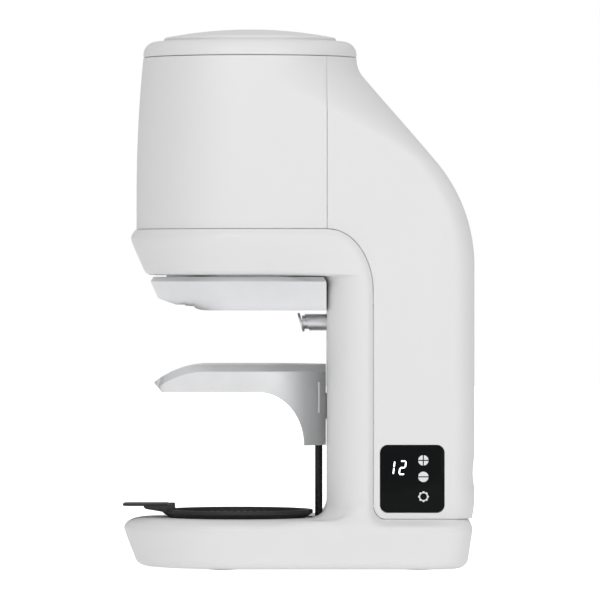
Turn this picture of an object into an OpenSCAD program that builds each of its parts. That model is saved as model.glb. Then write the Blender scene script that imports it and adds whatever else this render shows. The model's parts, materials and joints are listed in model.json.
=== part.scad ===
// Automatic countertop coffee tamper with a portafilter clamp.
// Frame: the origin is on the tamping axis at the worktop, +Z is up, a portafilter
// enters from -Y and the display faces +X. All sizes are in millimetres.

/* [Overall] */
// Height from the worktop to the crown of the top disc
total_h = 294.8; // [285:1:380]
// Radius of the round front of the base, and half of its width
base_r = 69.3; // [67:0.1:90]
// Distance from the tamping axis to the back of the rear cover
back_y = 122.2; // [112:0.1:150]

/* [Head] */
// Level where the head covers meet the chin
head_z = 184.9; // [180:1:200]
// Half-width of the head at its foot
head_r = 62.4; // [60:0.1:66]
// Radius of the head under the cap
head_r_top = 58.6; // [56:0.1:62]
// Wall of the two head covers
cover_t = 2.5; // [2:0.1:4]
// Height of the cap above its seam
cap_h = 8.8; // [6:0.1:12]
// Height of the domed disc above the cap
disc_h = 6.7; // [4:0.1:8]
// Radius of the domed disc
disc_r = 47.3; // [40:0.1:50]
// Slope of the back of the head, measured from the vertical
slope_a = 39.8; // [30:0.1:45]
// Radius where the slope runs into the back
slope_r = 88; // [60:1:90]
// Radius where the slope leaves the head
slope_top_r = 16; // [8:1:20]
// Corner radius along the back edges of the rear cover
rear_corner_r = 14; // [8:0.5:20]

/* [C frame] */
// Wall of the moulded C frame
frame_t = 3; // [2:0.1:4]
// Level of the underside of the chin
chin_z = 160; // [155:0.5:168]
// Half-width of the chin where it is widest
chin_r = 65.5; // [64:0.1:68]
// Half-width of the column
column_r = 65.5; // [64:0.1:68]
// Distance from the tamping axis to the front face of the column
column_y = 42.2; // [40:0.05:46]
// Depth of the column from its face to the seam
column_d = 24.8; // [20:0.1:30]
// Plan radius of the column's front corners
column_corner_r = 25; // [10:0.5:25]
// Level of the top of the base
base_top = 27; // [24:0.1:36]
// Fillet between the base and the column
base_fillet = 9; // [5:0.5:12]
// Fillet between the chin and the column
chin_fillet = 5; // [3:0.5:8]
// Distance from the tamping axis to the back of the base
base_back_y = 120.9; // [110:0.1:150]

/* [Portafilter clamp] */
// Radius of the round front of the upper clamp, and half of its width
clamp_r = 54.7; // [52:0.1:58]
// Level of the underside of the upper clamp
clamp_z = 140.7; // [136:0.1:146]
// Diameter of the tamper foot
tamper_d = 51.3; // [49:0.1:71]
// Height of the tamper foot
tamper_h = 11; // [8:0.5:12]
// Stroke of the ram
stroke = 28; // [20:0.5:34]
// Half-width of the rim slot under the upper clamp
rim_slot_r = 36.6; // [36:0.1:42]
// Depth of the rim slot
rim_slot_h = 3.1; // [2.8:0.1:6]

/* [Fork] */
// Level of the top of the fork
fork_top = 111; // [108:0.1:118]
// Thickness of the fork's arms
fork_t = 14.8; // [12:0.1:18]
// Outer half-width of the fork
fork_r = 46; // [44:0.5:50]
// Half-width of the fork's slot
fork_slot_r = 33.5; // [28:0.5:36]
// Reach of the fork's tips in front of the tamping axis
fork_reach = 51.9; // [46:0.1:56]
// Width of the fork's web and block
fork_web_w = 40; // [30:1:50]
// Level of the foot of the fork's block
fork_foot_z = 67; // [62:0.5:75]
// Travel of the fork above its rest level
fork_up = 4; // [2:0.5:6]
// Travel of the fork below its rest level
fork_down = 8; // [4:0.5:10]
// Diameter of the height spindle
spindle_d = 4.4; // [3.6:0.1:6]

/* [Drive] */
// Diameter of the motor
motor_d = 37; // [30:1:46]
// Length of the motor and its gearbox
motor_l = 60; // [50:1:62]
// Teeth of the screw's gear
gear_teeth = 74; // [70:1:76]
// Teeth of the motor's pinion
pinion_teeth = 14; // [12:1:16]
// Tooth module of the gear pair
gear_module = 1; // [0.9:0.01:1.02]
// Diameter of the lead screw
screw_d = 12; // [10:0.5:14]
// Diameter of each guide rod
guide_d = 8; // [6:0.5:10]

/* [Controls] */
// Width of the display window, front to back
display_w = 34.6; // [30:0.1:42]
// Height of the display window
display_h = 36.4; // [30:0.1:44]
// Corner radius of the display window
display_corner_r = 4.1; // [2:0.1:8]
// Distance from the tamping axis to the middle of the display
display_y = 88.2; // [86:0.1:96]
// Level of the middle of the display
display_z = 49.7; // [48:0.1:56]
// Height of the power switch's rocker
rocker_h = 13.4; // [10:0.1:16]
// Level of the middle of the power switch
rocker_z = 52.8; // [52:0.1:60]

/* [Mat] */
// Radius of the silicone mat
mat_r = 41.3; // [36:0.1:44]
// Thickness of the mat's rim
mat_h = 5; // [4:0.1:8]

/* [Hidden] */
$fn = 96;

// Seams and fits
seam = 0.3;
run_fit = 0.05;
clear = 0.5;
over = 1;

// Levels that follow from the sizes above
cap_z = total_h - disc_h - cap_h;
plate_t = 4;
plate_z = cap_z - 21.2;
chassis_t = 6;
chassis_z = chin_z + frame_t + 0.2;
chassis_top = chassis_z + chassis_t;
clamp_top = chin_z - 1;
seam_y = column_y + column_d;
foot_h = 1.2;
shell_foot = 0.5;
floor_t = 4;
floor_z = foot_h;

// Head section: half-width, back and rear corner radius at a level
bulge_z = head_z + 13;
slope_z = cap_z - 6.3;
corner_z = cap_z - 60;
slope_low_y = back_y - slope_r * (1 - cos(slope_a));
slope_low_z = slope_z - (slope_low_y - head_r_top) / tan(slope_a);
back_z = slope_low_z - slope_r * sin(slope_a);
slope_tan = slope_top_r * tan(slope_a / 2);
slope_top_z = slope_z + slope_tan;
slope_mid_z = slope_top_z - slope_top_r * sin(slope_a);

function clamp01(t) = max(0, min(1, t));
function smooth(t) = t * t * (3 - 2 * t);
function rad(a) = a * PI / 180;
function deg(a) = a * 180 / PI;
function arc(c, rx, ry, a0, a1, n = 12) =
    [for (i = [0:n]) c + [rx * cos(a0 + (a1 - a0) * i / n), ry * sin(a0 + (a1 - a0) * i / n)]];

function half_w(z) = head_r - (head_r - head_r_top) * pow(clamp01((z - bulge_z) / (cap_z - bulge_z)), 2.2);
scoop = 0.9;
scoop_h = 11;
hem = 1.3;
hem_h = 10;
function back_at(z) =
    z >= slope_top_z ? head_r_top
    : z >= slope_mid_z ? head_r_top + slope_top_r - sqrt(pow(slope_top_r, 2) - pow(slope_top_z - z, 2))
    : z >= slope_low_z ? head_r_top + (slope_z - z) * tan(slope_a)
    : z >= back_z ? back_y - slope_r + sqrt(pow(slope_r, 2) - pow(z - back_z, 2))
    : back_y - scoop * pow(cos(90 * min(1, abs(z - rocker_z) / scoop_h)), 2)
        - hem * pow(max(0, 1 - (z - seam_low_z) / hem_h), 1.5);
function corner_at(z) =
    rear_corner_r + (half_w(z) - rear_corner_r) * smooth(clamp01((z - corner_z) / (cap_z - corner_z)));

// A level's section, inset by a wall: [half-width, corner radius, corner centre]
function section(z, inset) = [half_w(z) - inset, corner_at(z) - inset, back_at(z) - corner_at(z)];
function front_len(s) = s[0] * PI / 2;
function full_len(s) = front_len(s) + s[2] + s[1] * PI / 2 + (s[0] - s[1]);
// Distance from the middle of the front, round the section, to where it crosses y
function len_at(s, y) = front_len(s) + (y < s[2] ? y : s[2] + s[1] * rad(asin(min(1, (y - s[2]) / s[1]))));
function on_section(s, d) =
    let (q = front_len(s), a = deg(d / s[0]), b = deg((d - q - s[2]) / s[1]))
    d <= q ? [s[0] * sin(a), -s[0] * cos(a)]
    : d <= q + s[2] ? [s[0], d - q]
    : b <= 90 ? [s[0] - s[1] + s[1] * cos(b), s[2] + s[1] * sin(b)]
    : [s[0] - s[1] - (d - q - s[2] - s[1] * PI / 2), s[2] + s[1]];

// Seam of the rear cover at a level
seam_drop = 34;
seam_low_z = 27.8;
seam_low_r = 8;
function seam_at(z) =
    z >= head_z ? column_y
    : z >= head_z - seam_drop ? column_y + column_d * sqrt(1 - pow((z - head_z + seam_drop) / seam_drop, 2))
    : z >= seam_low_z + seam_low_r ? seam_y
    : seam_y + 0.8 * (seam_low_r - sqrt(pow(seam_low_r, 2) - pow(seam_low_z + seam_low_r - z, 2)));

// One ring of a cover: its outer wall one way and its inner wall back
ring_half = 24;
function front_wall(z, inset) =
    let (s = section(z, inset), e = len_at(s, column_y - seam))
    [for (i = [-ring_half:ring_half]) let (p = on_section(s, e * abs(i) / ring_half)) [sign(i) * p[0], p[1], z]];
function rear_wall(z, inset) =
    let (s = section(z, inset), f = full_len(s), e = f - len_at(s, seam_at(z) + seam))
    [for (i = [-ring_half:ring_half]) let (p = on_section(s, f - e * abs(i) / ring_half)) [-sign(i) * p[0], p[1], z]];
function reversed(v) = [for (i = [len(v) - 1:-1:0]) v[i]];
function front_ring(z) = concat(front_wall(z, 0), reversed(front_wall(z, cover_t)));
function rear_ring(z) = concat(rear_wall(z, 0), reversed(rear_wall(z, cover_t)));

module skin(rings) {
    n = len(rings[0]);
    m = len(rings);
    sides = [for (k = [0:m - 2], i = [0:n - 1], h = [0, 1])
        let (a = k * n + i, b = k * n + (i + 1) % n) h == 0 ? [a, a + n, b] : [b, a + n, b + n]];
    half = n / 2;
    caps = [for (k = [0, m - 1], i = [0:half - 2], h = [0, 1])
        let (a = k * n + i, b = k * n + n - 1 - i, f = h == 0 ? [a, a + 1, b] : [a + 1, b - 1, b])
        k == 0 ? f : reversed(f)];
    polyhedron(points = [for (r = rings, p = r) p], faces = concat(sides, caps), convexity = 10);
}

// Outlines that are drawn across the machine (y, z) and extruded along X
module across(w) {
    rotate([90, 0, 90])
        translate([0, 0, -w / 2])
            linear_extrude(w)
                children();
}

// A profile (radius, z) that is turned round the front and run straight to the back
module turned_front(r_max, straight) {
    rotate([0, 0, 180])
        rotate_extrude(angle = 180)
            children();
    translate([0, straight, 0])
        rotate([90, 0, 0])
            linear_extrude(straight) {
                children();
                mirror([1, 0])
                    children();
            }
}

module u_plan(r, back) {
    circle(r);
    translate([-r, 0])
        square([2 * r, back]);
}

// ---- C frame ----

edge_r = 3.2;
base_edge_w = 10;
base_edge_h = 5.9;
foot_r = 6.5;
taper_a = -17;
chin_taper_a = -24;
chin_foot_r = 2.5;
chin_foot_in = 10;

module base_profile(inset) {
    polygon(concat(
        [[0, shell_foot - (inset > 0 ? over : 0)], [0, base_top - inset]],
        arc([base_r - base_edge_w, base_top - base_edge_h], base_edge_w - inset / 2, base_edge_h - inset, 90, taper_a),
        arc([base_r - foot_r - 5.6, shell_foot + foot_r], foot_r - inset, foot_r, taper_a, -90),
        inset > 0 ? [[base_r - foot_r - 5.6, shell_foot - over]] : []
    ));
}

module chin_profile(inset) {
    polygon(concat(
        [[0, chin_z + inset], [0, head_z + (inset > 0 ? over : 0)]],
        [[head_r - inset, head_z + (inset > 0 ? over : 0)]],
        arc([chin_r - edge_r, head_z - 1 - edge_r], edge_r - inset / 2, edge_r, inset > 0 ? 40 : 80, chin_taper_a),
        arc([chin_r - chin_foot_in, chin_z + chin_foot_r + inset / 2], chin_foot_r, chin_foot_r - inset / 2,
            chin_taper_a, -90)
    ));
}

module column_plan(inset) {
    r = column_corner_r - inset;
    far = seam_y + seam_low_r + (inset > 0 ? over : 0);
    polygon(concat(
        [[-column_r + inset, far], [column_r - inset, far]],
        arc([column_r - column_corner_r, column_y + column_corner_r], r, r, 0, -90),
        arc([-column_r + column_corner_r, column_y + column_corner_r], r, r, -90, -180)
    ));
}

module base_rear_plan(inset) {
    offset(r = rear_corner_r - inset)
        offset(delta = -rear_corner_r)
            translate([-base_r, -2 * base_r])
                square([2 * base_r, base_back_y + 2 * base_r]);
}

module frame_side() {
    c1 = [column_y - base_fillet, base_top + base_fillet];
    c2 = [column_y - chin_fillet, chin_z - chin_fillet];
    polygon(concat(
        [[-2 * base_r, shell_foot], [-2 * base_r, base_top]],
        arc(c1, base_fillet, base_fillet, -90, 0),
        arc(c2, chin_fillet, chin_fillet, 0, 90),
        [[-2 * base_r, chin_z], [-2 * base_r, head_z]],
        arc([column_y, head_z - seam_drop], column_d, seam_drop, 90, 0, 16),
        arc([seam_y + 0.8 * seam_low_r, seam_low_z + seam_low_r], 0.8 * seam_low_r, seam_low_r, 180, 270),
        [[base_back_y, seam_low_z], [base_back_y, shell_foot]]
    ));
}

module frame_side_hollow() {
    c1 = [column_y - base_fillet, base_top + base_fillet];
    c2 = [column_y - chin_fillet, chin_z - chin_fillet];
    far = base_back_y + over;
    polygon(concat(
        [[-2 * base_r, -over], [-2 * base_r, base_top - frame_t]],
        arc(c1, base_fillet + frame_t, base_fillet + frame_t, -90, 0),
        arc(c2, chin_fillet + frame_t, chin_fillet + frame_t, 0, 90),
        [[-2 * base_r, chin_z + frame_t], [-2 * base_r, head_z + over], [far, head_z + over], [far, -over]]
    ));
}

module frame_solid(inset) {
    fillet_w = 2 * (column_r - column_corner_r);
    turned_front(chin_r, seam_y)
        chin_profile(inset);
    translate([0, 0, base_top - 2 * frame_t])
        linear_extrude(head_z - base_top + 2 * frame_t + (inset > 0 ? over : 0))
            column_plan(inset);
    intersection() {
        turned_front(base_r, base_back_y)
            base_profile(inset);
        translate([0, 0, -over])
            linear_extrude(head_z)
                base_rear_plan(inset);
    }
    across(fillet_w - 2 * inset)
        polygon([
            [column_y - base_fillet, base_top - frame_t - over],
            [column_y - base_fillet, base_top + base_fillet],
            [column_y + column_d, base_top + base_fillet],
            [column_y + column_d, base_top - frame_t - over]
        ]);
    across(fillet_w - 2 * inset)
        polygon([
            [column_y - chin_fillet, chin_z - chin_fillet],
            [column_y - chin_fillet, chin_z + over],
            [column_y + column_d, chin_z + over],
            [column_y + column_d, chin_z - chin_fillet]
        ]);
}

slot_w = 14;
tongue_h = 14;
tongue_z = fork_top - 30;
sensor_y = tamper_d / 2 + 5.65;
sensor_tilt = 16;
sensor_z = 134;
sensor_d = 9.2;
spindle_y = column_y - 4.4;
mat_y = -6.7;
mat_recess = 0.8;

module c_frame() {
    color("#ececeb")
        difference() {
            intersection() {
                frame_solid(0);
                across(4 * base_r)
                    frame_side();
            }
            intersection() {
                frame_solid(frame_t);
                across(4 * base_r)
                    frame_side_hollow();
            }
            // Opening for the neck of the upper clamp
            translate([0, 0, chin_z - over])
                linear_extrude(frame_t + 2 * over)
                    neck_plan(clear / 2);
            // Slot for the fork's tongue
            translate([-slot_w / 2, column_y - over, tongue_z - fork_down - 1])
                cube([slot_w, frame_t + 2 * over, tongue_h + fork_down + fork_up + 2]);
            // Holes for the sensor and the spindle
            translate([0, column_y - over, sensor_z])
                rotate([-90, 0, 0])
                    cylinder(d = sensor_d + 0.4, h = frame_t + 2 * over);
            translate([0, spindle_y, base_top - 3 * frame_t])
                cylinder(d = spindle_d + 1, h = 6 * frame_t);
            // Shallow seat for the mat
            translate([0, mat_y, base_top - mat_recess])
                cylinder(r = mat_r + clear, h = over + mat_recess);
        }
}

// ---- covers ----

rear_levels = concat(
    [for (t = [0, 0.08, 0.25, 0.55, 1]) seam_low_z + seam + t * (seam_low_r - seam)],
    [for (t = [-1, -0.6, -0.2, 0.2, 0.6, 1]) rocker_z + t * scoop_h],
    [for (t = [0.5, 1]) rocker_z + scoop_h + t * (head_z - seam_drop - rocker_z - scoop_h)],
    [for (a = [25, 45, 62, 76, 90]) head_z - seam_drop + seam_drop * sin(a)],
    [for (t = [0.12, 0.24, 0.36, 0.47, 0.58, 0.68, 0.77, 0.85, 0.9, 0.95, 1]) head_z + t * (cap_z - seam - head_z)]
);
front_levels = [for (i = [0:10]) head_z + seam + i / 10 * (cap_z - head_z - 2 * seam)];

pocket_t = 1.2;
inlet_z = 39.2;
inlet_r = 5.6;
rocker_w = 8.6;

module rear_cover() {
    color("#e9e9e8")
        difference() {
            skin([for (z = rear_levels) rear_ring(z)]);
            // Display window opening
            translate([head_r - cover_t - over, display_y, display_z])
                rotate([90, 0, 90])
                    linear_extrude(cover_t + 2 * over)
                        rounded_rect(display_w + 2 * seam, display_h + 2 * seam, display_corner_r + seam);
            // Switch and inlet openings
            translate([-rocker_w / 2 - 0.6, back_y - cover_t - over, rocker_z - rocker_h / 2 - 0.6])
                cube([rocker_w + 1.2, cover_t + 2 * over, rocker_h + 1.2]);
            translate([0, back_y - cover_t - over, inlet_z])
                rotate([-90, 0, 0])
                    cylinder(r = inlet_r - 1 + clear / 2, h = cover_t + 2 * over);
        }
}

module head_cover() {
    color("#ececeb")
        skin([for (z = front_levels) front_ring(z)]);
}

module rounded_rect(w, h, r) {
    polygon(concat(
        arc([w / 2 - r, h / 2 - r], r, r, 0, 90, 8),
        arc([-w / 2 + r, h / 2 - r], r, r, 90, 180, 8),
        arc([-w / 2 + r, -h / 2 + r], r, r, 180, 270, 8),
        arc([w / 2 - r, -h / 2 + r], r, r, 270, 360, 8)
    ));
}

cap_edge_r = 6.4;
cap_t = 3;
disc_rim = 1.4;
disc_step = 0.5;

module top_cap() {
    color("#efefee")
        rotate_extrude()
            polygon(concat(
                [[0, cap_z + cap_h - cap_t], [0, cap_z + cap_h - disc_step], [disc_r + clear, cap_z + cap_h - disc_step],
                    [disc_r + clear, cap_z + cap_h]],
                arc([head_r_top - cap_edge_r, cap_z + cap_h - cap_edge_r], cap_edge_r, cap_edge_r, 90, 0),
                [[head_r_top, cap_z], [head_r_top - cap_t, cap_z]],
                arc([head_r_top - cap_edge_r, cap_z + cap_h - cap_edge_r], cap_edge_r - cap_t, cap_edge_r - cap_t, 0, 90)
            ));
}

dome_h = disc_h - disc_rim;
dome_sphere_r = (pow(disc_r, 2) + pow(dome_h, 2)) / (2 * dome_h);

module top_disc() {
    a = asin((disc_r - 1) / dome_sphere_r);
    color("#f3f3f2")
        rotate_extrude()
            polygon(concat(
                [[0, cap_z + cap_h - disc_step]],
                [for (i = [0:16]) [dome_sphere_r * sin(a * i / 16), total_h - dome_sphere_r * (1 - cos(a * i / 16))]],
                [[disc_r, cap_z + cap_h + disc_rim - 0.6], [disc_r, cap_z + cap_h - disc_step]]
            ));
}

// ---- inner frame ----

chassis_w = 88;
web_y = 50;
web_t = 5;
web_foot_l = 58;
neck_r = 46;
clamp_bolt_r = 40.5;
clamp_bolt_a = [30, 65, 115, 150, 210, 330];
bolt_r = 2;
pillar_xy = [[-28, -37], [28, -37], [-39, 37], [39, 37]];
pillar_r = 4;
guide_x = 38;
hole_r = tamper_d / 2 + 2;

module chassis() {
    color("#b9bcc0")
        difference() {
            union() {
                translate([0, 0, chassis_z])
                    linear_extrude(chassis_t)
                        intersection() {
                            u_plan(chassis_w / 2 + 8, web_y + web_t);
                            translate([-chassis_w / 2 - 6, -chassis_w / 2 - 7])
                                square([chassis_w + 12, chassis_w / 2 + 7 + web_y + web_t]);
                        }
                translate([-chassis_w / 2, web_y, floor_z + floor_t])
                    cube([chassis_w, web_t, chassis_z - floor_z - floor_t + over]);
                translate([-chassis_w / 2, web_y, floor_z + floor_t])
                    cube([chassis_w, web_foot_l, web_t]);
                // Side ribs that stiffen the web
                for (x = [-chassis_w / 2, chassis_w / 2 - web_t])
                    translate([x, web_y, floor_z + floor_t])
                        cube([web_t, 3 * web_t, chassis_z - floor_z - floor_t + chassis_t]);
            }
            translate([0, 0, chassis_z - over])
                cylinder(r = hole_r, h = chassis_t + 2 * over);
            for (a = clamp_bolt_a)
                rotate([0, 0, a])
                    translate([clamp_bolt_r, 0, chassis_z - over])
                        cylinder(r = bolt_r + 0.2, h = chassis_t + 2 * over);
            // Windows for the sensor's tail and the loom
            translate([0, web_y - over, sensor_z])
                rotate([-90, 0, 0])
                    cylinder(d = sensor_d + 0.4, h = web_t + 2 * over);
            translate([-12, web_y - over, 24])
                cube([24, web_t + 2 * over, 20]);
            for (z = rail_bolt_z)
                translate([0, web_y - over, z])
                    rotate([-90, 0, 0])
                        cylinder(r = bolt_r + 0.2, h = web_t + 2 * over);
            for (p = base_bolt_xy)
                if (p[1] > web_y)
                    translate([p[0], p[1], floor_z])
                        cylinder(r = bolt_r + 0.2, h = 3 * web_t);
        }
}

plate_r = base_r - foot_r - 5.6 - frame_t + 1.5;
base_bolt_xy = [[-34, -34], [34, -34], [-34, 100], [34, 100]];
// The fifth foot stands under the tamping axis and takes the pressing force
foot_xy = [[-42, -14], [42, -14], [-42, 92], [42, 92], [0, 0]];
knob_r = 11;
pad_r = 8;
stud_r = 3;

module base_plate() {
    color("#8d9094")
        difference() {
            translate([0, 0, floor_z])
                linear_extrude(floor_t)
                    intersection() {
                        u_plan(plate_r, base_back_y);
                        offset(r = rear_corner_r)
                            offset(delta = -rear_corner_r)
                                translate([-2 * base_r, -2 * base_r])
                                    square([4 * base_r, 2 * base_r + base_back_y - frame_t - 1.5]);
                    }
            for (p = foot_xy)
                translate([p[0], p[1], 0])
                    cylinder(r = stud_r + run_fit, h = 10);
            for (p = base_bolt_xy)
                translate([p[0], p[1], 0])
                    cylinder(r = bolt_r + 0.2, h = 10);
            translate([0, spindle_y, 0])
                cylinder(r = knob_r + 1.5, h = 10);
        }
}

module rubber_feet() {
    color("#232425")
        for (p = foot_xy)
            translate([p[0], p[1], 0]) {
                cylinder(r = pad_r, h = foot_h);
                cylinder(r = stud_r, h = foot_h + floor_t);
            }
}

module pan_screw(l, r = bolt_r) {
    cylinder(r = r, h = l);
    translate([0, 0, -r])
        difference() {
            cylinder(r = 1.8 * r, h = r);
            translate([0, 0, -over])
                cylinder(r = 0.9 * r, h = over + 0.55 * r, $fn = 6);
        }
}

module base_screws() {
    color("#a8abaf")
        for (p = base_bolt_xy)
            translate([p[0], p[1], floor_z])
                difference() {
                    cylinder(r = bolt_r, h = floor_t + (p[1] > web_y ? web_t : 3));
                    translate([0, 0, -over])
                        cylinder(r = 1.2, h = over + 1.2, $fn = 6);
                }
}

// ---- upper clamp ----

nose_z = 147.4;
nose_in = 4.1;
step_y = -28;
step_h = 2.2;
step_w = 8;
clamp_back = column_y - 0.4;

module neck_plan(gap) {
    intersection() {
        circle(neck_r + gap);
        translate([-2 * neck_r, -2 * neck_r])
            square([4 * neck_r, 2 * neck_r + column_y - chin_fillet + gap + 2.6]);
    }
}

module clamp_block() {
    r = tamper_d / 2 + 0.9;
    color("#c3c6c9")
        difference() {
            union() {
                intersection() {
                    turned_front(clamp_r, clamp_back)
                        polygon([
                            [0, clamp_z], [0, clamp_top], [clamp_r - 1.6, clamp_top], [clamp_r, clamp_top - 2.6],
                            [clamp_r - nose_in, nose_z], [clamp_r - nose_in, clamp_z]
                        ]);
                    across(4 * base_r)
                        polygon(concat(
                            [[-clamp_r, clamp_top + over], [-clamp_r, nose_z]],
                            [[-clamp_r + nose_in, nose_z], [step_y - 12, clamp_z + step_h + 0.85],
                                [step_y - 2, clamp_z + step_h]],
                            arc([step_y + step_w - 2, clamp_z + step_h], step_w, step_h, 180, 270, 8),
                            [[clamp_back, clamp_z]],
                            arc([column_y - chin_fillet, chin_z - chin_fillet], chin_fillet - 0.4, chin_fillet, 0, 90),
                            [[column_y - chin_fillet, clamp_top + over]]
                        ));
                }
                translate([0, 0, clamp_top - over])
                    linear_extrude(chassis_z - clamp_top + over)
                        neck_plan(0);
            }
            cylinder(r = r, h = total_h);
            for (a = clamp_bolt_a)
                rotate([0, 0, a])
                    translate([clamp_bolt_r, 0, chassis_z - 10])
                        cylinder(r = bolt_r + 0.05, h = 10 + over);
            // Rim slot, open to the front
            translate([0, 0, clamp_z - over])
                cylinder(r = rim_slot_r, h = rim_slot_h + over);
            translate([-rim_slot_r, -2 * clamp_r, clamp_z - over])
                cube([2 * rim_slot_r, 2 * clamp_r, rim_slot_h + over]);
            // Seat of the sensor's bush under the back of the block
            translate([0, sensor_y - 2, sensor_z])
                rotate([-90, 0, 0])
                    cylinder(d = sensor_d + 0.4, h = 2 * column_d);
        }
}

module clamp_screws() {
    color("#a8abaf")
        for (a = clamp_bolt_a)
            rotate([0, 0, a])
                translate([clamp_bolt_r, 0, chassis_top])
                    mirror([0, 0, 1])
                        pan_screw(chassis_t + 8);
}

// ---- head structure and drive ----

module head_pillars() {
    color("#b4b7bb")
        for (p = pillar_xy)
            translate([p[0], p[1], chassis_top])
                cylinder(r = pillar_r, h = plate_z - chassis_top);
}

module guide_rods() {
    color("#d4d6d9")
        for (x = [-guide_x, guide_x])
            translate([x, 0, chassis_top])
                cylinder(d = guide_d, h = plate_z - chassis_top);
}

motor_y = gear_module * (gear_teeth + pinion_teeth) / 2;
bearing_r = 13;
gear_z = plate_z + plate_t + 2.4;
gear_w = 5;
shaft_r = 2.5;

module motor_plate() {
    color("#b9bcc0")
        translate([0, 0, plate_z])
            difference() {
                linear_extrude(plate_t)
                    difference() {
                        union() {
                            circle(r = 48);
                            translate([-22, 0])
                                square([44, motor_y + 15]);
                        }
                        circle(r = bearing_r + 0.02);
                        translate([0, motor_y])
                            circle(r = shaft_r + 1.5);
                        for (a = [0:90:270])
                            translate([0, motor_y])
                                rotate(a + 45)
                                    translate([motor_d / 2 - 5, 0])
                                        circle(r = 1.6);
                    }
                for (p = pillar_xy)
                    translate([p[0], p[1], -over])
                        cylinder(r = bolt_r + 0.2, h = plate_t + 2 * over);
            }
}

module plate_screws() {
    color("#a8abaf")
        for (p = pillar_xy)
            if (norm(p) < 48)
                translate([p[0], p[1], plate_z + plate_t])
                    mirror([0, 0, 1])
                        pan_screw(plate_t);
}

module drive_motor() {
    color("#9a9da1")
        translate([0, motor_y, 0]) {
            translate([0, 0, plate_z - 22])
                cylinder(d = motor_d, h = 22);
            translate([0, 0, plate_z - motor_l])
                cylinder(d = motor_d - 2, h = motor_l - 21);
            translate([0, 0, plate_z - 1])
                cylinder(r = shaft_r, h = gear_z + gear_w - plate_z + 2);
        }
}

module motor_encoder() {
    color("#1d1e20")
        translate([0, motor_y, plate_z - motor_l - 6])
            difference() {
                cylinder(d = motor_d - 6, h = 6);
                translate([-5, motor_d / 2 - 8, -over])
                    cube([10, 10, 3 + over]);
            }
}

module motor_screws() {
    color("#a8abaf")
        for (a = [0:90:270])
            translate([0, motor_y, plate_z + plate_t])
                rotate([0, 0, a + 45])
                    translate([motor_d / 2 - 5, 0, 0])
                        mirror([0, 0, 1])
                            pan_screw(plate_t, 1.1);
}

module screw_bearing() {
    color("#cfd1d4")
        translate([0, 0, plate_z - 3])
            difference() {
                union() {
                    cylinder(r = bearing_r, h = plate_t + 3);
                    cylinder(r = bearing_r + 3, h = 3);
                }
                translate([0, 0, -over])
                    cylinder(d = screw_d + 2 * run_fit, h = plate_t + 3 + 2 * over);
            }
}

carriage_h = 12;
carriage_z = plate_z - 27;
switch_x = 30;

module limit_switches() {
    color("#2a2b2d")
        for (z = [carriage_z + carriage_h + 2, carriage_z - stroke - 12])
            translate([-switch_x - 20, 17, z]) {
                cube([20, 6.4, 10]);
                translate([2, -1.2, 1])
                    cube([16, 1.2 + over / 2, 0.6]);
            }
}

module spur(teeth, w, bore) {
    pitch_r = gear_module * teeth / 2;
    difference() {
        linear_extrude(w)
            polygon([for (i = [0:teeth - 1], k = [[-0.30, -1.2], [-0.13, 0.9], [0.13, 0.9], [0.30, -1.2]])
                (pitch_r + k[1] * gear_module) * [cos((i + k[0]) * 360 / teeth), sin((i + k[0]) * 360 / teeth)]]);
        translate([0, 0, -over])
            cylinder(r = bore, h = w + 2 * over);
    }
}

module screw_gear() {
    color("#e6e2d6")
        translate([0, 0, gear_z])
            rotate([0, 0, 90 - 180 / gear_teeth])
                difference() {
                    spur(gear_teeth, gear_w, screw_d / 2);
                    // Lightening holes
                    for (a = [0:60:300])
                        rotate([0, 0, a])
                            translate([gear_teeth * gear_module / 3.4, 0, -over])
                                cylinder(r = 6, h = gear_w + 2 * over);
                }
}

screw_low = carriage_z - stroke - 2;

module lead_screw() {
    pitch = 4;
    turns = floor((plate_z - 6 - screw_low) / pitch);
    color("#c8cacd") {
        difference() {
            translate([0, 0, screw_low])
                cylinder(d = screw_d, h = gear_z + gear_w - screw_low);
            // Thread roots
            for (i = [1:turns])
                translate([0, 0, screw_low + pitch * i])
                    rotate_extrude()
                        polygon([[screw_d / 2 - 1, -0.6], [screw_d / 2 + over, -1.2],
                            [screw_d / 2 + over, 1.2], [screw_d / 2 - 1, 0.6]]);
        }
    }
}

module pinion() {
    color("#d9c07a")
        translate([0, motor_y, gear_z])
            rotate([0, 0, -90])
                spur(pinion_teeth, gear_w, shaft_r + run_fit);
}

// ---- ram ----

carriage_w = 2 * guide_x + 20;
carriage_d = 26;
nut_r = 10;
bush_r = guide_d / 2 + 2.5;
tube_r = 13;
tube_wall = 4;
cell_r = 16;
cell_h = 12;
foot_z = clamp_z + 2.4;
stem_r = 9;
cell_z = foot_z + tamper_h + 22;

module ram_carriage() {
    color("#b9bcc0")
        translate([0, 0, carriage_z])
            difference() {
                translate([-carriage_w / 2, -carriage_d / 2, 0])
                    cube([carriage_w, carriage_d, carriage_h]);
                for (x = [-guide_x, guide_x])
                    translate([x, 0, -over])
                        cylinder(r = bush_r, h = carriage_h + 2 * over);
                translate([0, 0, -over])
                    cylinder(r = nut_r, h = carriage_h + 2 * over);
            }
}

module ram_nut() {
    color("#c9a24d")
        translate([0, 0, carriage_z])
            difference() {
                union() {
                    cylinder(r = nut_r, h = carriage_h);
                    translate([0, 0, carriage_h])
                        cylinder(r = nut_r + 4, h = 3);
                }
                translate([0, 0, -over])
                    cylinder(d = screw_d + 2 * run_fit, h = carriage_h + 3 + 2 * over);
            }
}

module guide_bushes() {
    color("#c9a24d")
        for (x = [-guide_x, guide_x])
            translate([x, 0, carriage_z - 2])
                difference() {
                    union() {
                        cylinder(r = bush_r, h = carriage_h + 2);
                        cylinder(r = bush_r + 1.5, h = 2);
                    }
                    translate([0, 0, -over])
                        cylinder(d = guide_d + 2 * run_fit, h = carriage_h + 4 + 2 * over);
                }
}

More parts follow.
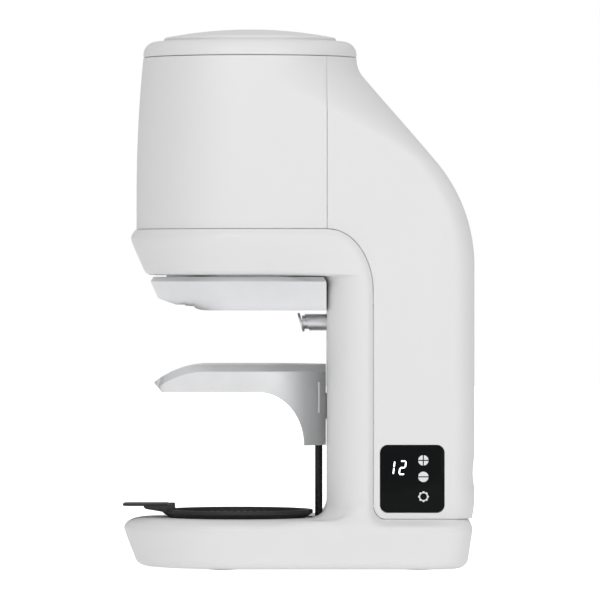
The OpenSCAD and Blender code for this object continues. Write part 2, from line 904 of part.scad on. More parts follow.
module ram_tube() {
    tube_low = cell_z + cell_h;
    color("#a9acb0")
        difference() {
            union() {
                translate([0, 0, tube_low])
                    cylinder(r = tube_r, h = carriage_z - tube_low);
                translate([0, 0, carriage_z - 4])
                    cylinder(r = tube_r + 5, h = 4);
            }
            translate([0, 0, tube_low + 5])
                cylinder(r = tube_r - tube_wall, h = carriage_z);
        }
}

module load_cell() {
    color("#d0d2d5")
        translate([0, 0, cell_z])
            difference() {
                cylinder(r = cell_r, h = cell_h);
                // Strain-gauge groove
                translate([0, 0, cell_h / 2])
                    rotate_extrude()
                        translate([cell_r - 2, -2])
                            square([4, 4]);
            }
}

module tamper_stem() {
    color("#cfd1d4")
        translate([0, 0, foot_z + tamper_h])
            difference() {
                cylinder(r = stem_r, h = cell_z - foot_z - tamper_h);
                translate([0, 0, -over])
                    cylinder(r = 2.5, h = 12 + over);
            }
}

module tamper_foot() {
    color("#d6d8da")
        translate([0, 0, foot_z])
            difference() {
                rotate_extrude()
                    polygon([[0, 0], [tamper_d / 2 - 0.3, 0], [tamper_d / 2, 0.3], [tamper_d / 2, tamper_h - 1],
                        [tamper_d / 2 - 1, tamper_h], [0, tamper_h]]);
                translate([0, 0, -over])
                    cylinder(r = 2.5, h = tamper_h + 2 * over);
                translate([0, 0, -over])
                    cylinder(r = 4.6, h = 3.4 + over);
            }
}

module stem_screw() {
    color("#b0b3b7")
        translate([0, 0, foot_z + 0.4]) {
            difference() {
                cylinder(r = 4.4, h = 3);
                translate([0, 0, -over])
                    cylinder(r = 1.7, h = over + 1.6, $fn = 6);
            }
            cylinder(r = 2.4, h = tamper_h + 10);
        }
}

// ---- controls ----

board_t = 1.6;

module control_board() {
    y = web_y + 3 * web_t + 2;
    color("#1f5a38")
        translate([-36, y, 78])
            cube([72, board_t, 66]);
    color("#2a2b2d") {
        translate([-28, y + board_t, 84])
            cube([18, 9, 14]);
        translate([-4, y + board_t, 112])
            cube([26, 4, 20]);
        translate([14, y + board_t, 86])
            cube([18, 12, 16]);
    }
    color("#5a4a8a")
        for (x = [-26, -12])
            translate([x, y + board_t, 122])
                rotate([-90, 0, 0])
                    cylinder(r = 5, h = 16);
}

module display_window() {
    color("#0d0e10")
        translate([head_r - pocket_t - 0.8, display_y, display_z])
            rotate([90, 0, 90])
                linear_extrude(pocket_t + 0.8)
                    rounded_rect(display_w, display_h, display_corner_r);
}

module display_board() {
    x = head_r - pocket_t - 0.8;
    color("#1f5a38")
        translate([x - 6, display_y - display_w / 2 + 2, display_z - display_h / 2 + 2])
            cube([board_t, display_w - 4, display_h - 4]);
    // Digit block and the touch pads' springs
    color("#e8e8e4")
        translate([x - 6 + board_t, display_y - 12, display_z + 2])
            cube([4.2, 14, 12]);
    color("#c9a24d")
        for (z = [-12, 2, 11])
            translate([x - 6 + board_t, display_y + 8, display_z + z])
                rotate([0, 90, 0])
                    cylinder(r = 3, h = 4.2);
}

module switch_housing() {
    h = rocker_h + 0.8;
    w = rocker_w + 0.8;
    color("#1c1d1f")
        translate([0, back_y - 0.4, rocker_z])
            difference() {
                translate([-w / 2, -14, -h / 2])
                    cube([w, 14, h]);
                translate([-rocker_w / 2 - 0.1, -9, -rocker_h / 2 - 0.1])
                    cube([rocker_w + 0.2, 9 + over, rocker_h + 0.2]);
            }
    color("#c0c2c5")
        for (z = [-4, 0, 4])
            translate([-0.5, back_y - 0.4 - 14 - 7, rocker_z + z - 1])
                cube([1, 7 + 0.5, 2]);
}

rocker_axis_y = back_y - 5;

module rocker() {
    w = rocker_w - 0.4;
    h = rocker_h - 0.8;
    color("#17181a")
        difference() {
            translate([0, rocker_axis_y, rocker_z])
                rotate([90, 0, 90])
                    translate([0, 0, -w / 2])
                        linear_extrude(w)
                            difference() {
                                translate([-2.6, -h / 2 + 0.6])
                                    square([2.6 + 4.8, h - 1.2]);
                                translate([4.8 + 27, 0])
                                    circle(r = 28.2);
                            }
            translate([0, rocker_axis_y, rocker_z])
                rotate([0, 90, 0])
                    cylinder(r = 1, h = 2 * w, center = true);
        }
}

module inlet_bezel() {
    color("#e9e9e8")
        translate([0, back_y - cover_t - 2, inlet_z])
            rotate([-90, 0, 0])
                difference() {
                    union() {
                        cylinder(r = inlet_r - 1, h = cover_t + 2);
                        translate([0, 0, cover_t + 2])
                            cylinder(r = inlet_r, h = 1.1);
                    }
                    translate([0, 0, -over])
                        cylinder(r = 3.4, h = cover_t + 8);
                }
}

module power_inlet() {
    color("#1c1d1f")
        translate([0, back_y - cover_t - 2 - 12, inlet_z])
            rotate([-90, 0, 0])
                difference() {
                    union() {
                        translate([-5, -5, 0])
                            cube([10, 10, 12]);
                        cylinder(r = 3.3, h = 12 + cover_t + 2.2);
                    }
                    translate([0, 0, 4])
                        cylinder(r = 2.75, h = 20);
                }
    color("#d0d2d5")
        translate([0, back_y - cover_t - 2 - 8, inlet_z])
            rotate([-90, 0, 0])
                translate([0, 0, -0.5])
                    cylinder(r = 1, h = 10);
}

// ---- sensor ----

button_d = 4;
button_out = 3;

module sensor_bush() {
    color("#a4a7ab")
        translate([0, sensor_y, sensor_z])
            rotate([-90, 0, 0])
                difference() {
                    translate([0, 0, -2])
                        cylinder(d = sensor_d, h = web_y + web_t - sensor_y + 2);
                    // Front face, tilted like the button
                    rotate([sensor_tilt, 0, 0])
                        translate([0, 0, -10])
                            cylinder(d = 2 * sensor_d, h = 10);
                    translate([0, 0, -3])
                        cylinder(d = button_d + 2 * run_fit, h = 2 * column_d + web_y);
                    translate([0, 0, 13])
                        cylinder(d = button_d + 1.6, h = web_y + column_d);
                }
}

module sensor_button() {
    flange_t = 1.4;
    color("#8f9296")
        translate([0, sensor_y - button_out, sensor_z])
            rotate([-90, 0, 0]) {
                rotate([sensor_tilt, 0, 0])
                    translate([0, 0, -flange_t + over / 2])
                        cylinder(d = sensor_d + 1.6, h = flange_t);
                cylinder(d = button_d, h = web_y + web_t - 1 - sensor_y + button_out);
                translate([0, 0, button_out + 13.4])
                    cylinder(d = button_d + 1.2, h = 1.2);
            }
}

module sensor_spring() {
    low = sensor_y + 14.7;
    color("#b8bbbf")
        for (i = [0:4])
            translate([0, low + 0.6 + i * 1.5, sensor_z])
                rotate([-90, 0, 0])
                    rotate_extrude($fn = 32)
                        translate([button_d / 2 + 0.42, 0])
                            circle(r = 0.3, $fn = 14);
}

module sensor_switch() {
    color("#2a2b2d")
        translate([-6, web_y + web_t + 1.5, sensor_z - 6])
            cube([12, 8, 12]);
}

// ---- fork ----

fork_low = fork_top - fork_t;
rail_w = 12;
rail_z = tongue_z - fork_down - 6;
rail_h = tongue_h + fork_down + fork_up + 12;
rail_bolt_z = [rail_z + 3.4, rail_z + rail_h - 3.4];
slider_t = 4;
fork_back = column_y - 0.5;
tip_curve_r = 47.9;

module fork_side() {
    gusset_a = fork_low - fork_foot_z;
    polygon(concat(
        [[fork_back, fork_top]],
        arc([-fork_reach + 28.5, fork_top - tip_curve_r], tip_curve_r, tip_curve_r, 90, 126.5, 10),
        [[-fork_reach + 4.3, fork_low], [5, fork_low]],
        arc([5, fork_foot_z], 24.7, gusset_a, 90, 0, 14),
        [[fork_back, fork_foot_z]]
    ));
}

module fork_plan() {
    tip_r = (fork_r - fork_slot_r) / 2;
    difference() {
        union() {
            circle(r = fork_r);
            for (s = [-1, 1])
                translate([s * (fork_slot_r + tip_r), -fork_reach + tip_r])
                    circle(r = tip_r);
            translate([-fork_r, -fork_reach + tip_r])
                square([2 * fork_r, fork_reach - tip_r]);
            translate([-fork_web_w / 2, 0])
                square([fork_web_w, fork_back]);
            // Shoulders where the arms run into the block
            polygon(concat(
                [[fork_web_w / 2, fork_back], [-fork_web_w / 2, fork_back]],
                [[-fork_r + 8, 22], [0, 0], [fork_r - 8, 22]]
            ));
        }
        circle(r = fork_slot_r);
        translate([-fork_slot_r, -2 * fork_reach])
            square([2 * fork_slot_r, 2 * fork_reach]);
    }
}

module fork() {
    color("#b7babd")
        difference() {
            intersection() {
                translate([0, 0, fork_foot_z - over])
                    linear_extrude(fork_top - fork_foot_z + 2 * over)
                        fork_plan();
                across(4 * base_r)
                    fork_side();
            }
            // Blind hole for the spindle
            translate([0, spindle_y, fork_foot_z - over])
                cylinder(d = spindle_d + 2 * run_fit, h = fork_top - fork_foot_z - 4 + over);
            for (x = [-4, 4])
                translate([x, fork_back - 4, tongue_z + tongue_h / 2])
                    rotate([-90, 0, 0])
                        cylinder(r = 1.5, h = 4 + over);
        }
}

module fork_slider() {
    w = slot_w - 2 * clear;
    y_in = column_y + frame_t + 0.4;
    color("#a9acb0")
        difference() {
            union() {
                translate([-w / 2, fork_back, tongue_z])
                    cube([w, web_y - 0.5 - slider_t / 2 - fork_back - 1.5, tongue_h]);
                translate([-w / 2 - 3, y_in, tongue_z])
                    cube([w + 6, 1.6, tongue_h]);
            }
            for (x = [-4, 4])
                translate([x, fork_back - over, tongue_z + tongue_h / 2])
                    rotate([-90, 0, 0])
                        cylinder(r = 1.5, h = 10);
        }
}

module fork_screws() {
    color("#a8abaf")
        for (x = [-4, 4])
            translate([x, fork_back - 3.8, tongue_z + tongue_h / 2])
                rotate([-90, 0, 0])
                    cylinder(r = 1.45, h = 7.2);
}

module fork_rail() {
    color("#8f9296")
        difference() {
            translate([-rail_w, web_y - 1.8, rail_z])
                cube([2 * rail_w, 1.8, rail_h]);
            for (z = rail_bolt_z)
                translate([0, web_y - 2 - over, z])
                    rotate([-90, 0, 0])
                        cylinder(r = bolt_r + 0.1, h = 4 + over);
        }
}

module rail_screws() {
    color("#a8abaf")
        for (z = rail_bolt_z)
            translate([0, web_y + web_t, z])
                rotate([90, 0, 0])
                    pan_screw(web_t + 1.6);
}

knob_z = floor_z + 0.6;
knob_h = 6;

module spindle_bush() {
    color("#c9a24d")
        translate([0, spindle_y, knob_z + knob_h + 0.6])
            difference() {
                union() {
                    cylinder(r = 5, h = base_top - frame_t - knob_z - knob_h - 1.4);
                    cylinder(r = 9, h = 2);
                }
                translate([0, 0, -over])
                    cylinder(d = spindle_d + 2 * run_fit, h = base_top);
            }
}

module spindle() {
    color("#2a2b2d")
        translate([0, spindle_y, knob_z + 1])
            cylinder(d = spindle_d, h = fork_top - fork_down - 10 - knob_z - 1);
}

module spindle_knob() {
    color("#232425")
        translate([0, spindle_y, knob_z])
            difference() {
                linear_extrude(knob_h)
                    difference() {
                        circle(r = knob_r);
                        for (a = [0:30:330])
                            rotate(a)
                                translate([knob_r + 0.6, 0])
                                    circle(r = 1.6, $fn = 24);
                    }
                translate([0, 0, 1])
                    cylinder(d = spindle_d, h = knob_h);
                // Hexagon socket for a key
                translate([0, 0, -over])
                    cylinder(r = 1.7, h = 1 + over + 0.01, $fn = 6);
            }
}

// ---- mat ----

tab_w = 30;
tab_reach = 69.9;
mat_low = base_top - mat_recess + 0.05;

module mat() {
    floor_h = 2.2;
    color("#232425")
        difference() {
            union() {
                translate([0, mat_y, mat_low])
                    cylinder(r1 = mat_r - 5, r2 = mat_r, h = mat_h - 2.2);
                translate([0, mat_y, mat_low + mat_h - 2.2])
                    cylinder(r = mat_r, h = 2.2);
                translate([-tab_w / 2, -58.3, base_top + 2.3])
                    cube([tab_w, 24, 5.2]);
                translate([-tab_w / 2 + 5, -tab_reach + 5, base_top + 6.2])
                    cube([tab_w - 10, 14, 1.5]);
                for (x = [-1, 1])
                    translate([x * (tab_w / 2 - 5), -tab_reach + 5, base_top + 6.2])
                        cylinder(r = 5, h = 1.5);
                translate([-tab_w / 2 + 5, -tab_reach, base_top + 6.2])
                    cube([tab_w - 10, 6, 1.5]);
                translate([-tab_w / 2, -tab_reach + 5, base_top + 6.2])
                    cube([tab_w, 14, 1.5]);
            }
            translate([0, mat_y, mat_low + floor_h])
                cylinder(r = mat_r - 3, h = 2 * mat_h);
        }
}

c_frame();
rear_cover();
head_cover();
top_cap();
top_disc();
chassis();
base_plate();
rubber_feet();
base_screws();
clamp_block();
clamp_screws();
head_pillars();
guide_rods();
motor_plate();
plate_screws();
drive_motor();
motor_encoder();
motor_screws();
screw_bearing();
limit_switches();
control_board();
display_window();
display_board();
switch_housing();
power_inlet();
inlet_bezel();
sensor_bush();
sensor_switch();
sensor_spring();
fork_rail();
rail_screws();
spindle_bush();
lead_screw();
screw_gear();
pinion();
ram_carriage();
ram_nut();
guide_bushes();
ram_tube();
load_cell();
tamper_stem();
tamper_foot();
stem_screw();
fork();
fork_slider();
fork_screws();
spindle();
spindle_knob();
sensor_button();
rocker();
mat();
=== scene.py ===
"""Studio scene of a countertop coffee tamper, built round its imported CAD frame.

Lengths in the classes are millimetres in the frame of the part: the tamping axis is the origin,
+Z is up, a portafilter enters from -Y and the display faces +X. Meshes are written in metres.
"""

import json
import logging
import math
from dataclasses import dataclass
from enum import Enum
from typing import Optional, Sequence

import bmesh
import bpy
import numpy as np
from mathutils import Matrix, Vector

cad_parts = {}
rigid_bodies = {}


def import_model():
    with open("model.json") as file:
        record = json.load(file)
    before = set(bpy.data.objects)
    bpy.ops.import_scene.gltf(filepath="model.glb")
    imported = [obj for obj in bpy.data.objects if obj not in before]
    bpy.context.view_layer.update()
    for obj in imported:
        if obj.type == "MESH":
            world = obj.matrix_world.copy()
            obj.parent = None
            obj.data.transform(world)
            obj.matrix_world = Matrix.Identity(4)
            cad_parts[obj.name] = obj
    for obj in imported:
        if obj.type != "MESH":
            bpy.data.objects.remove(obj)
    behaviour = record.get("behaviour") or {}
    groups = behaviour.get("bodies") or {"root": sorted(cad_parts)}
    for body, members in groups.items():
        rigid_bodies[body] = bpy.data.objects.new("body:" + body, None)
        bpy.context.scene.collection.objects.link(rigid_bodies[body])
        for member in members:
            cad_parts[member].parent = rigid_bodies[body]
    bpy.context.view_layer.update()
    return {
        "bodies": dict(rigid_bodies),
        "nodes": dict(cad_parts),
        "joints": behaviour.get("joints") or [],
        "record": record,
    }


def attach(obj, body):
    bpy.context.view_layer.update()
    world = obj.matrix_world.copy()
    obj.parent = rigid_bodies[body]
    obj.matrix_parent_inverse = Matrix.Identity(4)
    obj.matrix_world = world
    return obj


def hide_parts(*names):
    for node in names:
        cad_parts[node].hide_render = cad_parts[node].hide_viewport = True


MM = 0.001
LOG = logging.getLogger("tamper")
Array = np.ndarray
# A profile starts and ends this close to its axis, so that its poles stay closed.
POLE = 0.01


# ---------------------------------------------------------------------------------------------
# Colour and material trees
# ---------------------------------------------------------------------------------------------


def linear(hex_code: str, alpha: float = 1.0) -> tuple[float, float, float, float]:
    """Turn an sRGB hex colour into Blender's linear colour.

    Args:
        hex_code: Six hexadecimal digits.
        alpha: The fourth value of the colour.

    Returns:
        The linear red, green and blue, and alpha.
    """
    parts = [int(hex_code[i : i + 2], 16) / 255 for i in (0, 2, 4)]
    red, green, blue = [p / 12.92 if p <= 0.04045 else ((p + 0.055) / 1.055) ** 2.4 for p in parts]
    return red, green, blue, alpha


class Coord(Enum):
    """Where a pattern is measured."""

    OBJECT = "Object"
    UV = "UV"


class Tree:
    """A material's or a modifier's node tree while it is being built."""

    def __init__(self, nodes: bpy.types.NodeTree) -> None:
        """Take an empty tree.

        Args:
            nodes: The tree that nodes are added to.
        """
        self.tree = nodes

    def add(self, kind: str, settings: Optional[dict] = None, **inputs: object) -> bpy.types.Node:
        """Add one node with its settings and links.

        Args:
            kind: The node's type name.
            settings: Its properties by name.
            **inputs: Sockets by name with '_' for a space, or by position as 'i0', each given a
                value or an output socket to link from.

        Returns:
            The new node.
        """
        node = self.tree.nodes.new(kind)
        for name, value in (settings or {}).items():
            setattr(node, name, value)
        for name, value in inputs.items():
            key: object = int(name[1:]) if name[0] == "i" and name[1:].isdigit() else name.replace("_", " ")
            socket = node.inputs[key]
            if isinstance(value, bpy.types.NodeSocket):
                self.tree.links.new(value, socket)
            else:
                socket.default_value = value
        return node


@dataclass(frozen=True)
class Finish:
    """A surface: its colours, its gloss and the fine relief that its making leaves.

    Attributes:
        name: The finish's name.
        colour: Main colour, sRGB hex.
        tint: Colour that the main one drifts towards in soft patches, sRGB hex.
        roughness: Mean roughness, and the value on the shader's socket.
        metallic: 1 for bare metal.
        grain_mm: Size of the relief's grain.
        relief_mm: Height of the relief.
        patch_mm: Size of the patches of tint and gloss.
        spread: How far the roughness moves between patches.
        stretch: Stretch of the grain along x, y and z, for brushed or turned metal.
        coat: Clear coat weight.
        glow: Strength of the light that it gives.
        gleam: Specular level of a surface that is not metal.
    """

    name: str
    colour: str
    tint: str
    roughness: float
    metallic: float = 0.0
    grain_mm: float = 0.5
    relief_mm: float = 0.01
    patch_mm: float = 30.0
    spread: float = 0.04
    stretch: tuple[float, float, float] = (1.0, 1.0, 1.0)
    coat: float = 0.0
    glow: float = 0.0
    gleam: float = 0.5

    def build(self) -> bpy.types.Material:
        """Build the material, or return it if it exists.

        Returns:
            The finish as a node material.
        """
        known = bpy.data.materials.get(self.name)
        if known:
            return known
        material = bpy.data.materials.new(self.name)
        material.use_nodes = True
        material.diffuse_color = linear(self.colour)
        tree = Tree(material.node_tree)
        shader = material.node_tree.nodes["Principled BSDF"]
        place = tree.add("ShaderNodeTexCoord").outputs[Coord.OBJECT.value]
        patch = tree.add(
            "ShaderNodeTexNoise", Vector=place, Scale=1 / (self.patch_mm * MM), Detail=2.0, Roughness=0.5
        ).outputs[0]
        mix = tree.add("ShaderNodeMix", {"data_type": "RGBA"}, Factor=patch)
        mix.inputs[6].default_value = linear(self.colour)
        mix.inputs[7].default_value = linear(self.tint)
        gloss = tree.add(
            "ShaderNodeMapRange",
            Value=patch,
            To_Min=max(0.02, self.roughness - self.spread),
            To_Max=min(1.0, self.roughness + self.spread),
        )
        along = tree.add("ShaderNodeMapping", Vector=place, Scale=tuple(1 / s for s in self.stretch))
        grain = tree.add(
            "ShaderNodeTexNoise", Vector=along.outputs[0], Scale=1 / (self.grain_mm * MM), Detail=3.0, Roughness=0.6
        )
        bump = tree.add("ShaderNodeBump", Strength=0.6, Distance=self.relief_mm * MM, Height=grain.outputs[0])
        links = material.node_tree.links
        links.new(mix.outputs[2], shader.inputs["Base Color"])
        links.new(gloss.outputs[0], shader.inputs["Roughness"])
        links.new(bump.outputs[0], shader.inputs["Normal"])
        shader.inputs["Metallic"].default_value = self.metallic
        shader.inputs["Coat Weight"].default_value = self.coat
        shader.inputs["Specular IOR Level"].default_value = self.gleam
        shader.inputs["Coat Roughness"].default_value = 0.08
        if self.glow:
            shader.inputs["Emission Color"].default_value = linear(self.colour)
            shader.inputs["Emission Strength"].default_value = self.glow
        return material


# Moulded ABS, satin white: the fine spark texture of the tool breaks up the gloss.
WHITE_ABS = Finish(
    "satin_white_abs", "e3e3e3", "e0e0e0", 0.42,
    grain_mm=0.45, relief_mm=0.006, patch_mm=60,
)
# Machined aluminium, bead blasted and clear anodised: a soft silver without machining lines.
SATIN_ALU = Finish(
    "satin_anodised_aluminium", "e6e6e7", "dcdddf", 0.3, 1.0,
    grain_mm=0.35, relief_mm=0.002, patch_mm=18, spread=0.05,
)
# Cast aluminium, bead blasted: a coarser grain and a duller shine than the anodised block.
BLASTED_ALU = Finish(
    "bead_blasted_aluminium", "e0e0e1", "d6d7d8", 0.5, 1.0,
    grain_mm=0.5, relief_mm=0.01, patch_mm=14, spread=0.06,
)
# Zinc-plated steel: bluish and fairly bright, with drawn lines along z.
ZINC_STEEL = Finish(
    "zinc_plated_steel", "b9bcc1", "a9adb4", 0.32, 1.0,
    grain_mm=0.3, relief_mm=0.008, patch_mm=8, stretch=(1, 1, 6),
)
# Steel turned or ground bright, for rods, screws and the tamper.
GROUND_STEEL = Finish(
    "ground_stainless_steel", "cfd1d3", "c4c6c9", 0.2, 1.0,
    grain_mm=0.25, relief_mm=0.004, patch_mm=20, stretch=(8, 8, 1),
)
# Black oxide on steel: oily black that shows metal where it is rubbed.
BLACK_STEEL = Finish(
    "black_oxide_steel", "232426", "303235", 0.38, 0.6,
    grain_mm=0.4, relief_mm=0.01, patch_mm=5,
)
# Turned brass: warm, with a fine turned grain.
BRASS = Finish(
    "turned_brass", "c9a356", "b88f45", 0.28, 1.0,
    grain_mm=0.3, relief_mm=0.006, patch_mm=6, stretch=(1, 1, 5),
)
# Moulded silicone: matt, and a little greyer in soft random patches, for dust and a painted sheen.
SILICONE = Finish(
    "black_silicone", "1d1e1f", "272829", 0.62,
    grain_mm=0.6, relief_mm=0.02, patch_mm=10, spread=0.08,
)
# Rubber of the feet: matt and slightly rough.
RUBBER = Finish("foot_rubber", "1b1c1d", "242526", 0.75, grain_mm=0.5, relief_mm=0.03, patch_mm=6)
# Moulded black ABS for the switch, the inlet and the knob.
BLACK_ABS = Finish("black_abs", "17181a", "1e1f21", 0.4, grain_mm=0.4, relief_mm=0.008, patch_mm=8)
# Polished acrylic window: black behind and smooth as glass in front.
BLACK_ACRYLIC = Finish(
    "polished_black_acrylic", "0d0e0f", "101112", 0.12,
    grain_mm=2.0, relief_mm=0.0005, patch_mm=40, spread=0.01, gleam=0.08,
)
# Moulded nylon for the big gear: ivory and waxy.
NYLON = Finish("moulded_nylon", "e4dfd0", "dad4c2", 0.48, grain_mm=0.5, relief_mm=0.01, patch_mm=12)
# Solder mask on a fibreglass board.
SOLDER_MASK = Finish(
    "green_solder_mask", "1c5a38", "18502f", 0.3,
    grain_mm=0.8, relief_mm=0.01, patch_mm=4, coat=0.3,
)
# Lit segments of the digits.
LIT = Finish(
    "lit_segment", "f4f8ff", "eef4ff", 0.4,
    grain_mm=0.5, relief_mm=0.001, patch_mm=5, glow=1.6,
)
# White ink printed behind the window.
INK = Finish(
    "white_ink", "d9dbdc", "cfd1d3", 0.5,
    grain_mm=0.3, relief_mm=0.002, patch_mm=3, glow=0.12,
)
# Grey cloth of the two flags that shade the sides.
FLAG_CLOTH = Finish(
    "grey_flag_cloth", "303030", "343434", 0.9,
    grain_mm=3, relief_mm=0.02, patch_mm=200,
)
# White paint of the studio floor.
FLOOR_PAINT = Finish(
    "floor_paint", "e5e5e5", "e3e3e3", 0.8,
    grain_mm=3, relief_mm=0.02, patch_mm=300, glow=1.0,
)


# ---------------------------------------------------------------------------------------------
# Mesh helpers
# ---------------------------------------------------------------------------------------------


def smooth(t: Array | float) -> Array:
    """Ease from 0 to 1 with level ends."""
    t = np.clip(t, 0.0, 1.0)
    return t * t * (3 - 2 * t)


def new_piece(name: str, points: Array, faces: Sequence[Sequence[int]], finish: Finish) -> bpy.types.Object:
    """Make an object from points in millimetres.

    Args:
        name: The object's name.
        points: One row of x, y and z for each vertex.
        faces: Vertex numbers of each face.
        finish: Its surface.

    Returns:
        The linked object, at the origin.
    """
    mesh = bpy.data.meshes.new(name)
    mesh.from_pydata((np.asarray(points, float) * MM).tolist(), [], [list(f) for f in faces])
    mesh.validate()
    piece = bpy.data.objects.new(name, mesh)
    bpy.context.scene.collection.objects.link(piece)
    mesh.materials.append(finish.build())
    return piece


def tidy(piece: bpy.types.Object, angle: float = 35.0, merge_mm: float = 0.01) -> bpy.types.Object:
    """Merge doubles, turn faces outwards and shade smooth up to an angle.

    Args:
        piece: The object.
        angle: Largest angle, in degrees, that shades smooth.
        merge_mm: Vertices closer than this become one.

    Returns:
        The same object.
    """
    bm = bmesh.new()
    bm.from_mesh(piece.data)
    bmesh.ops.remove_doubles(bm, verts=bm.verts, dist=merge_mm * MM)
    bmesh.ops.recalc_face_normals(bm, faces=bm.faces)
    for face in bm.faces:
        face.smooth = True
    for edge in bm.edges:
        edge.smooth = len(edge.link_faces) == 2 and edge.calc_face_angle(0.0) < math.radians(angle)
    bm.to_mesh(piece.data)
    bm.free()
    return piece


def apply_modifiers(piece: bpy.types.Object) -> bpy.types.Object:
    """Bake an object's modifiers into its mesh and remove them.

    Args:
        piece: The object.

    Returns:
        The same object.
    """
    graph = bpy.context.evaluated_depsgraph_get()
    baked = bpy.data.meshes.new_from_object(piece.evaluated_get(graph))
    piece.modifiers.clear()
    piece.data = baked
    return piece


def even_normals(piece: bpy.types.Object) -> bpy.types.Object:
    """Let large faces rule the shading, so that flat faces look flat beside rounded edges.

    Args:
        piece: The object.

    Returns:
        The same object.
    """
    step = piece.modifiers.new("normals", "WEIGHTED_NORMAL")
    step.mode = "FACE_AREA"
    step.weight = 80
    step.keep_sharp = True
    return apply_modifiers(piece)


def edge_rounding(
    piece: bpy.types.Object, width_mm: float, segments: int = 2, angle: float = 40.0
) -> bpy.types.Object:
    """Round the edges that are sharper than an angle.

    Args:
        piece: The object.
        width_mm: Width of the rounding.
        segments: Its number of steps.
        angle: Edges that turn more than this, in degrees, are rounded.

    Returns:
        The same object, with the rounding in its mesh.
    """
    bevel = piece.modifiers.new("round", "BEVEL")
    bevel.width = width_mm * MM
    bevel.segments = segments
    bevel.limit_method = "ANGLE"
    bevel.angle_limit = math.radians(angle)
    bevel.use_clamp_overlap = True
    bevel.harden_normals = False
    return apply_modifiers(piece)


def cut(piece: bpy.types.Object, tools: Sequence[bpy.types.Object]) -> bpy.types.Object:
    """Take tools away from a piece.

    Args:
        piece: The object that is cut.
        tools: Closed objects, removed afterwards.

    Returns:
        The cut piece.
    """
    for tool in tools:
        step = piece.modifiers.new("cut", "BOOLEAN")
        step.operation = "DIFFERENCE"
        step.solver = "EXACT"
        step.object = tool
        apply_modifiers(piece)
        bpy.data.objects.remove(tool)
    return piece


def grid_faces(rows: int, cols: int, closed: bool = False, start: int = 0) -> list[tuple[int, int, int, int]]:
    """Faces of a grid of points that is stored row by row.

    Args:
        rows: Number of rows.
        cols: Points in each row.
        closed: True joins each row's end to its start.
        start: Number of the first vertex.

    Returns:
        The quads.
    """
    quads = []
    for row in range(rows - 1):
        here, above = start + row * cols, start + (row + 1) * cols
        for col in range(cols if closed else cols - 1):
            after = (col + 1) % cols
            quads.append((here + col, here + after, above + after, above + col))
    return quads


def lathe(
    name: str,
    profile: Sequence[tuple[float, float]],
    finish: Finish,
    axis: tuple[float, float, float] = (0, 0, 0),
    along: str = "z",
    steps: int = 96,
) -> bpy.types.Object:
    """Turn a profile round an axis into a closed piece.

    Args:
        name: The object's name.
        profile: Points of (radius, height) from one end of the axis to the other.
        finish: Its surface.
        axis: A point on the axis.
        along: 'z' or 'y', the axis's direction.
        steps: Faces round the axis.

    Returns:
        The turned piece.
    """
    turn = np.linspace(0, 2 * math.pi, steps, endpoint=False)
    rings = [np.stack([r * np.cos(turn), r * np.sin(turn), np.full(steps, h)], 1) for r, h in profile]
    points = np.concatenate(rings)
    faces: list[Sequence[int]] = list(grid_faces(len(profile), steps, closed=True))
    faces.append(list(range(steps))[::-1])
    faces.append([(len(profile) - 1) * steps + i for i in range(steps)])
    if along == "y":
        points = points[:, [0, 2, 1]]
    piece = new_piece(name, points + np.array(axis, float), faces, finish)
    return tidy(piece)


def prism(
    name: str,
    outline: Sequence[tuple[float, float]],
    low: float,
    high: float,
    finish: Finish,
    along: str = "z",
) -> bpy.types.Object:
    """Extrude a closed outline along an axis.

    Args:
        name: The object's name.
        outline: Points in the plane across the axis: (x, y), (y, z) or (x, z).
        low: Where it starts on the axis.
        high: Where it ends.
        finish: Its surface.
        along: 'z', 'x' or 'y'.

    Returns:
        The extruded piece.
    """
    flat = np.array(outline, float)
    n = len(flat)
    layers = []
    for level in (low, high):
        level_col = np.full((n, 1), level)
        if along == "z":
            layers.append(np.hstack([flat, level_col]))
        elif along == "x":
            layers.append(np.hstack([level_col, flat]))
        else:
            layers.append(np.hstack([flat[:, :1], level_col, flat[:, 1:]]))
    faces: list[Sequence[int]] = [(i, (i + 1) % n, n + (i + 1) % n, n + i) for i in range(n)]
    faces += [list(range(n))[::-1], [n + i for i in range(n)]]
    return tidy(new_piece(name, np.concatenate(layers), faces, finish))


def arc(
    cx: float, cy: float, rx: float, ry: float, a0: float, a1: float, n: int = 12
) -> list[tuple[float, float]]:
    """Points on an elliptical arc, with its angles in degrees."""
    turns = np.radians(np.linspace(a0, a1, n + 1))
    return [(cx + rx * math.cos(a), cy + ry * math.sin(a)) for a in turns]


def ready(piece: bpy.types.Object, body: str, slot: str, *nodes: str) -> bpy.types.Object:
    """Put a finished piece on its body, and hide the CAD nodes that it replaces.

    Args:
        piece: The finished object.
        body: The CAD body that it rides on.
        slot: The record's material slot; not used.
        *nodes: CAD nodes that it replaces.

    Returns:
        The same object.
    """
    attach(piece, body)
    if nodes:
        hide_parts(*nodes)
    LOG.info("%s: %d faces on %s", piece.name, len(piece.data.polygons), body)
    return piece


# ---------------------------------------------------------------------------------------------
# White shells
# ---------------------------------------------------------------------------------------------


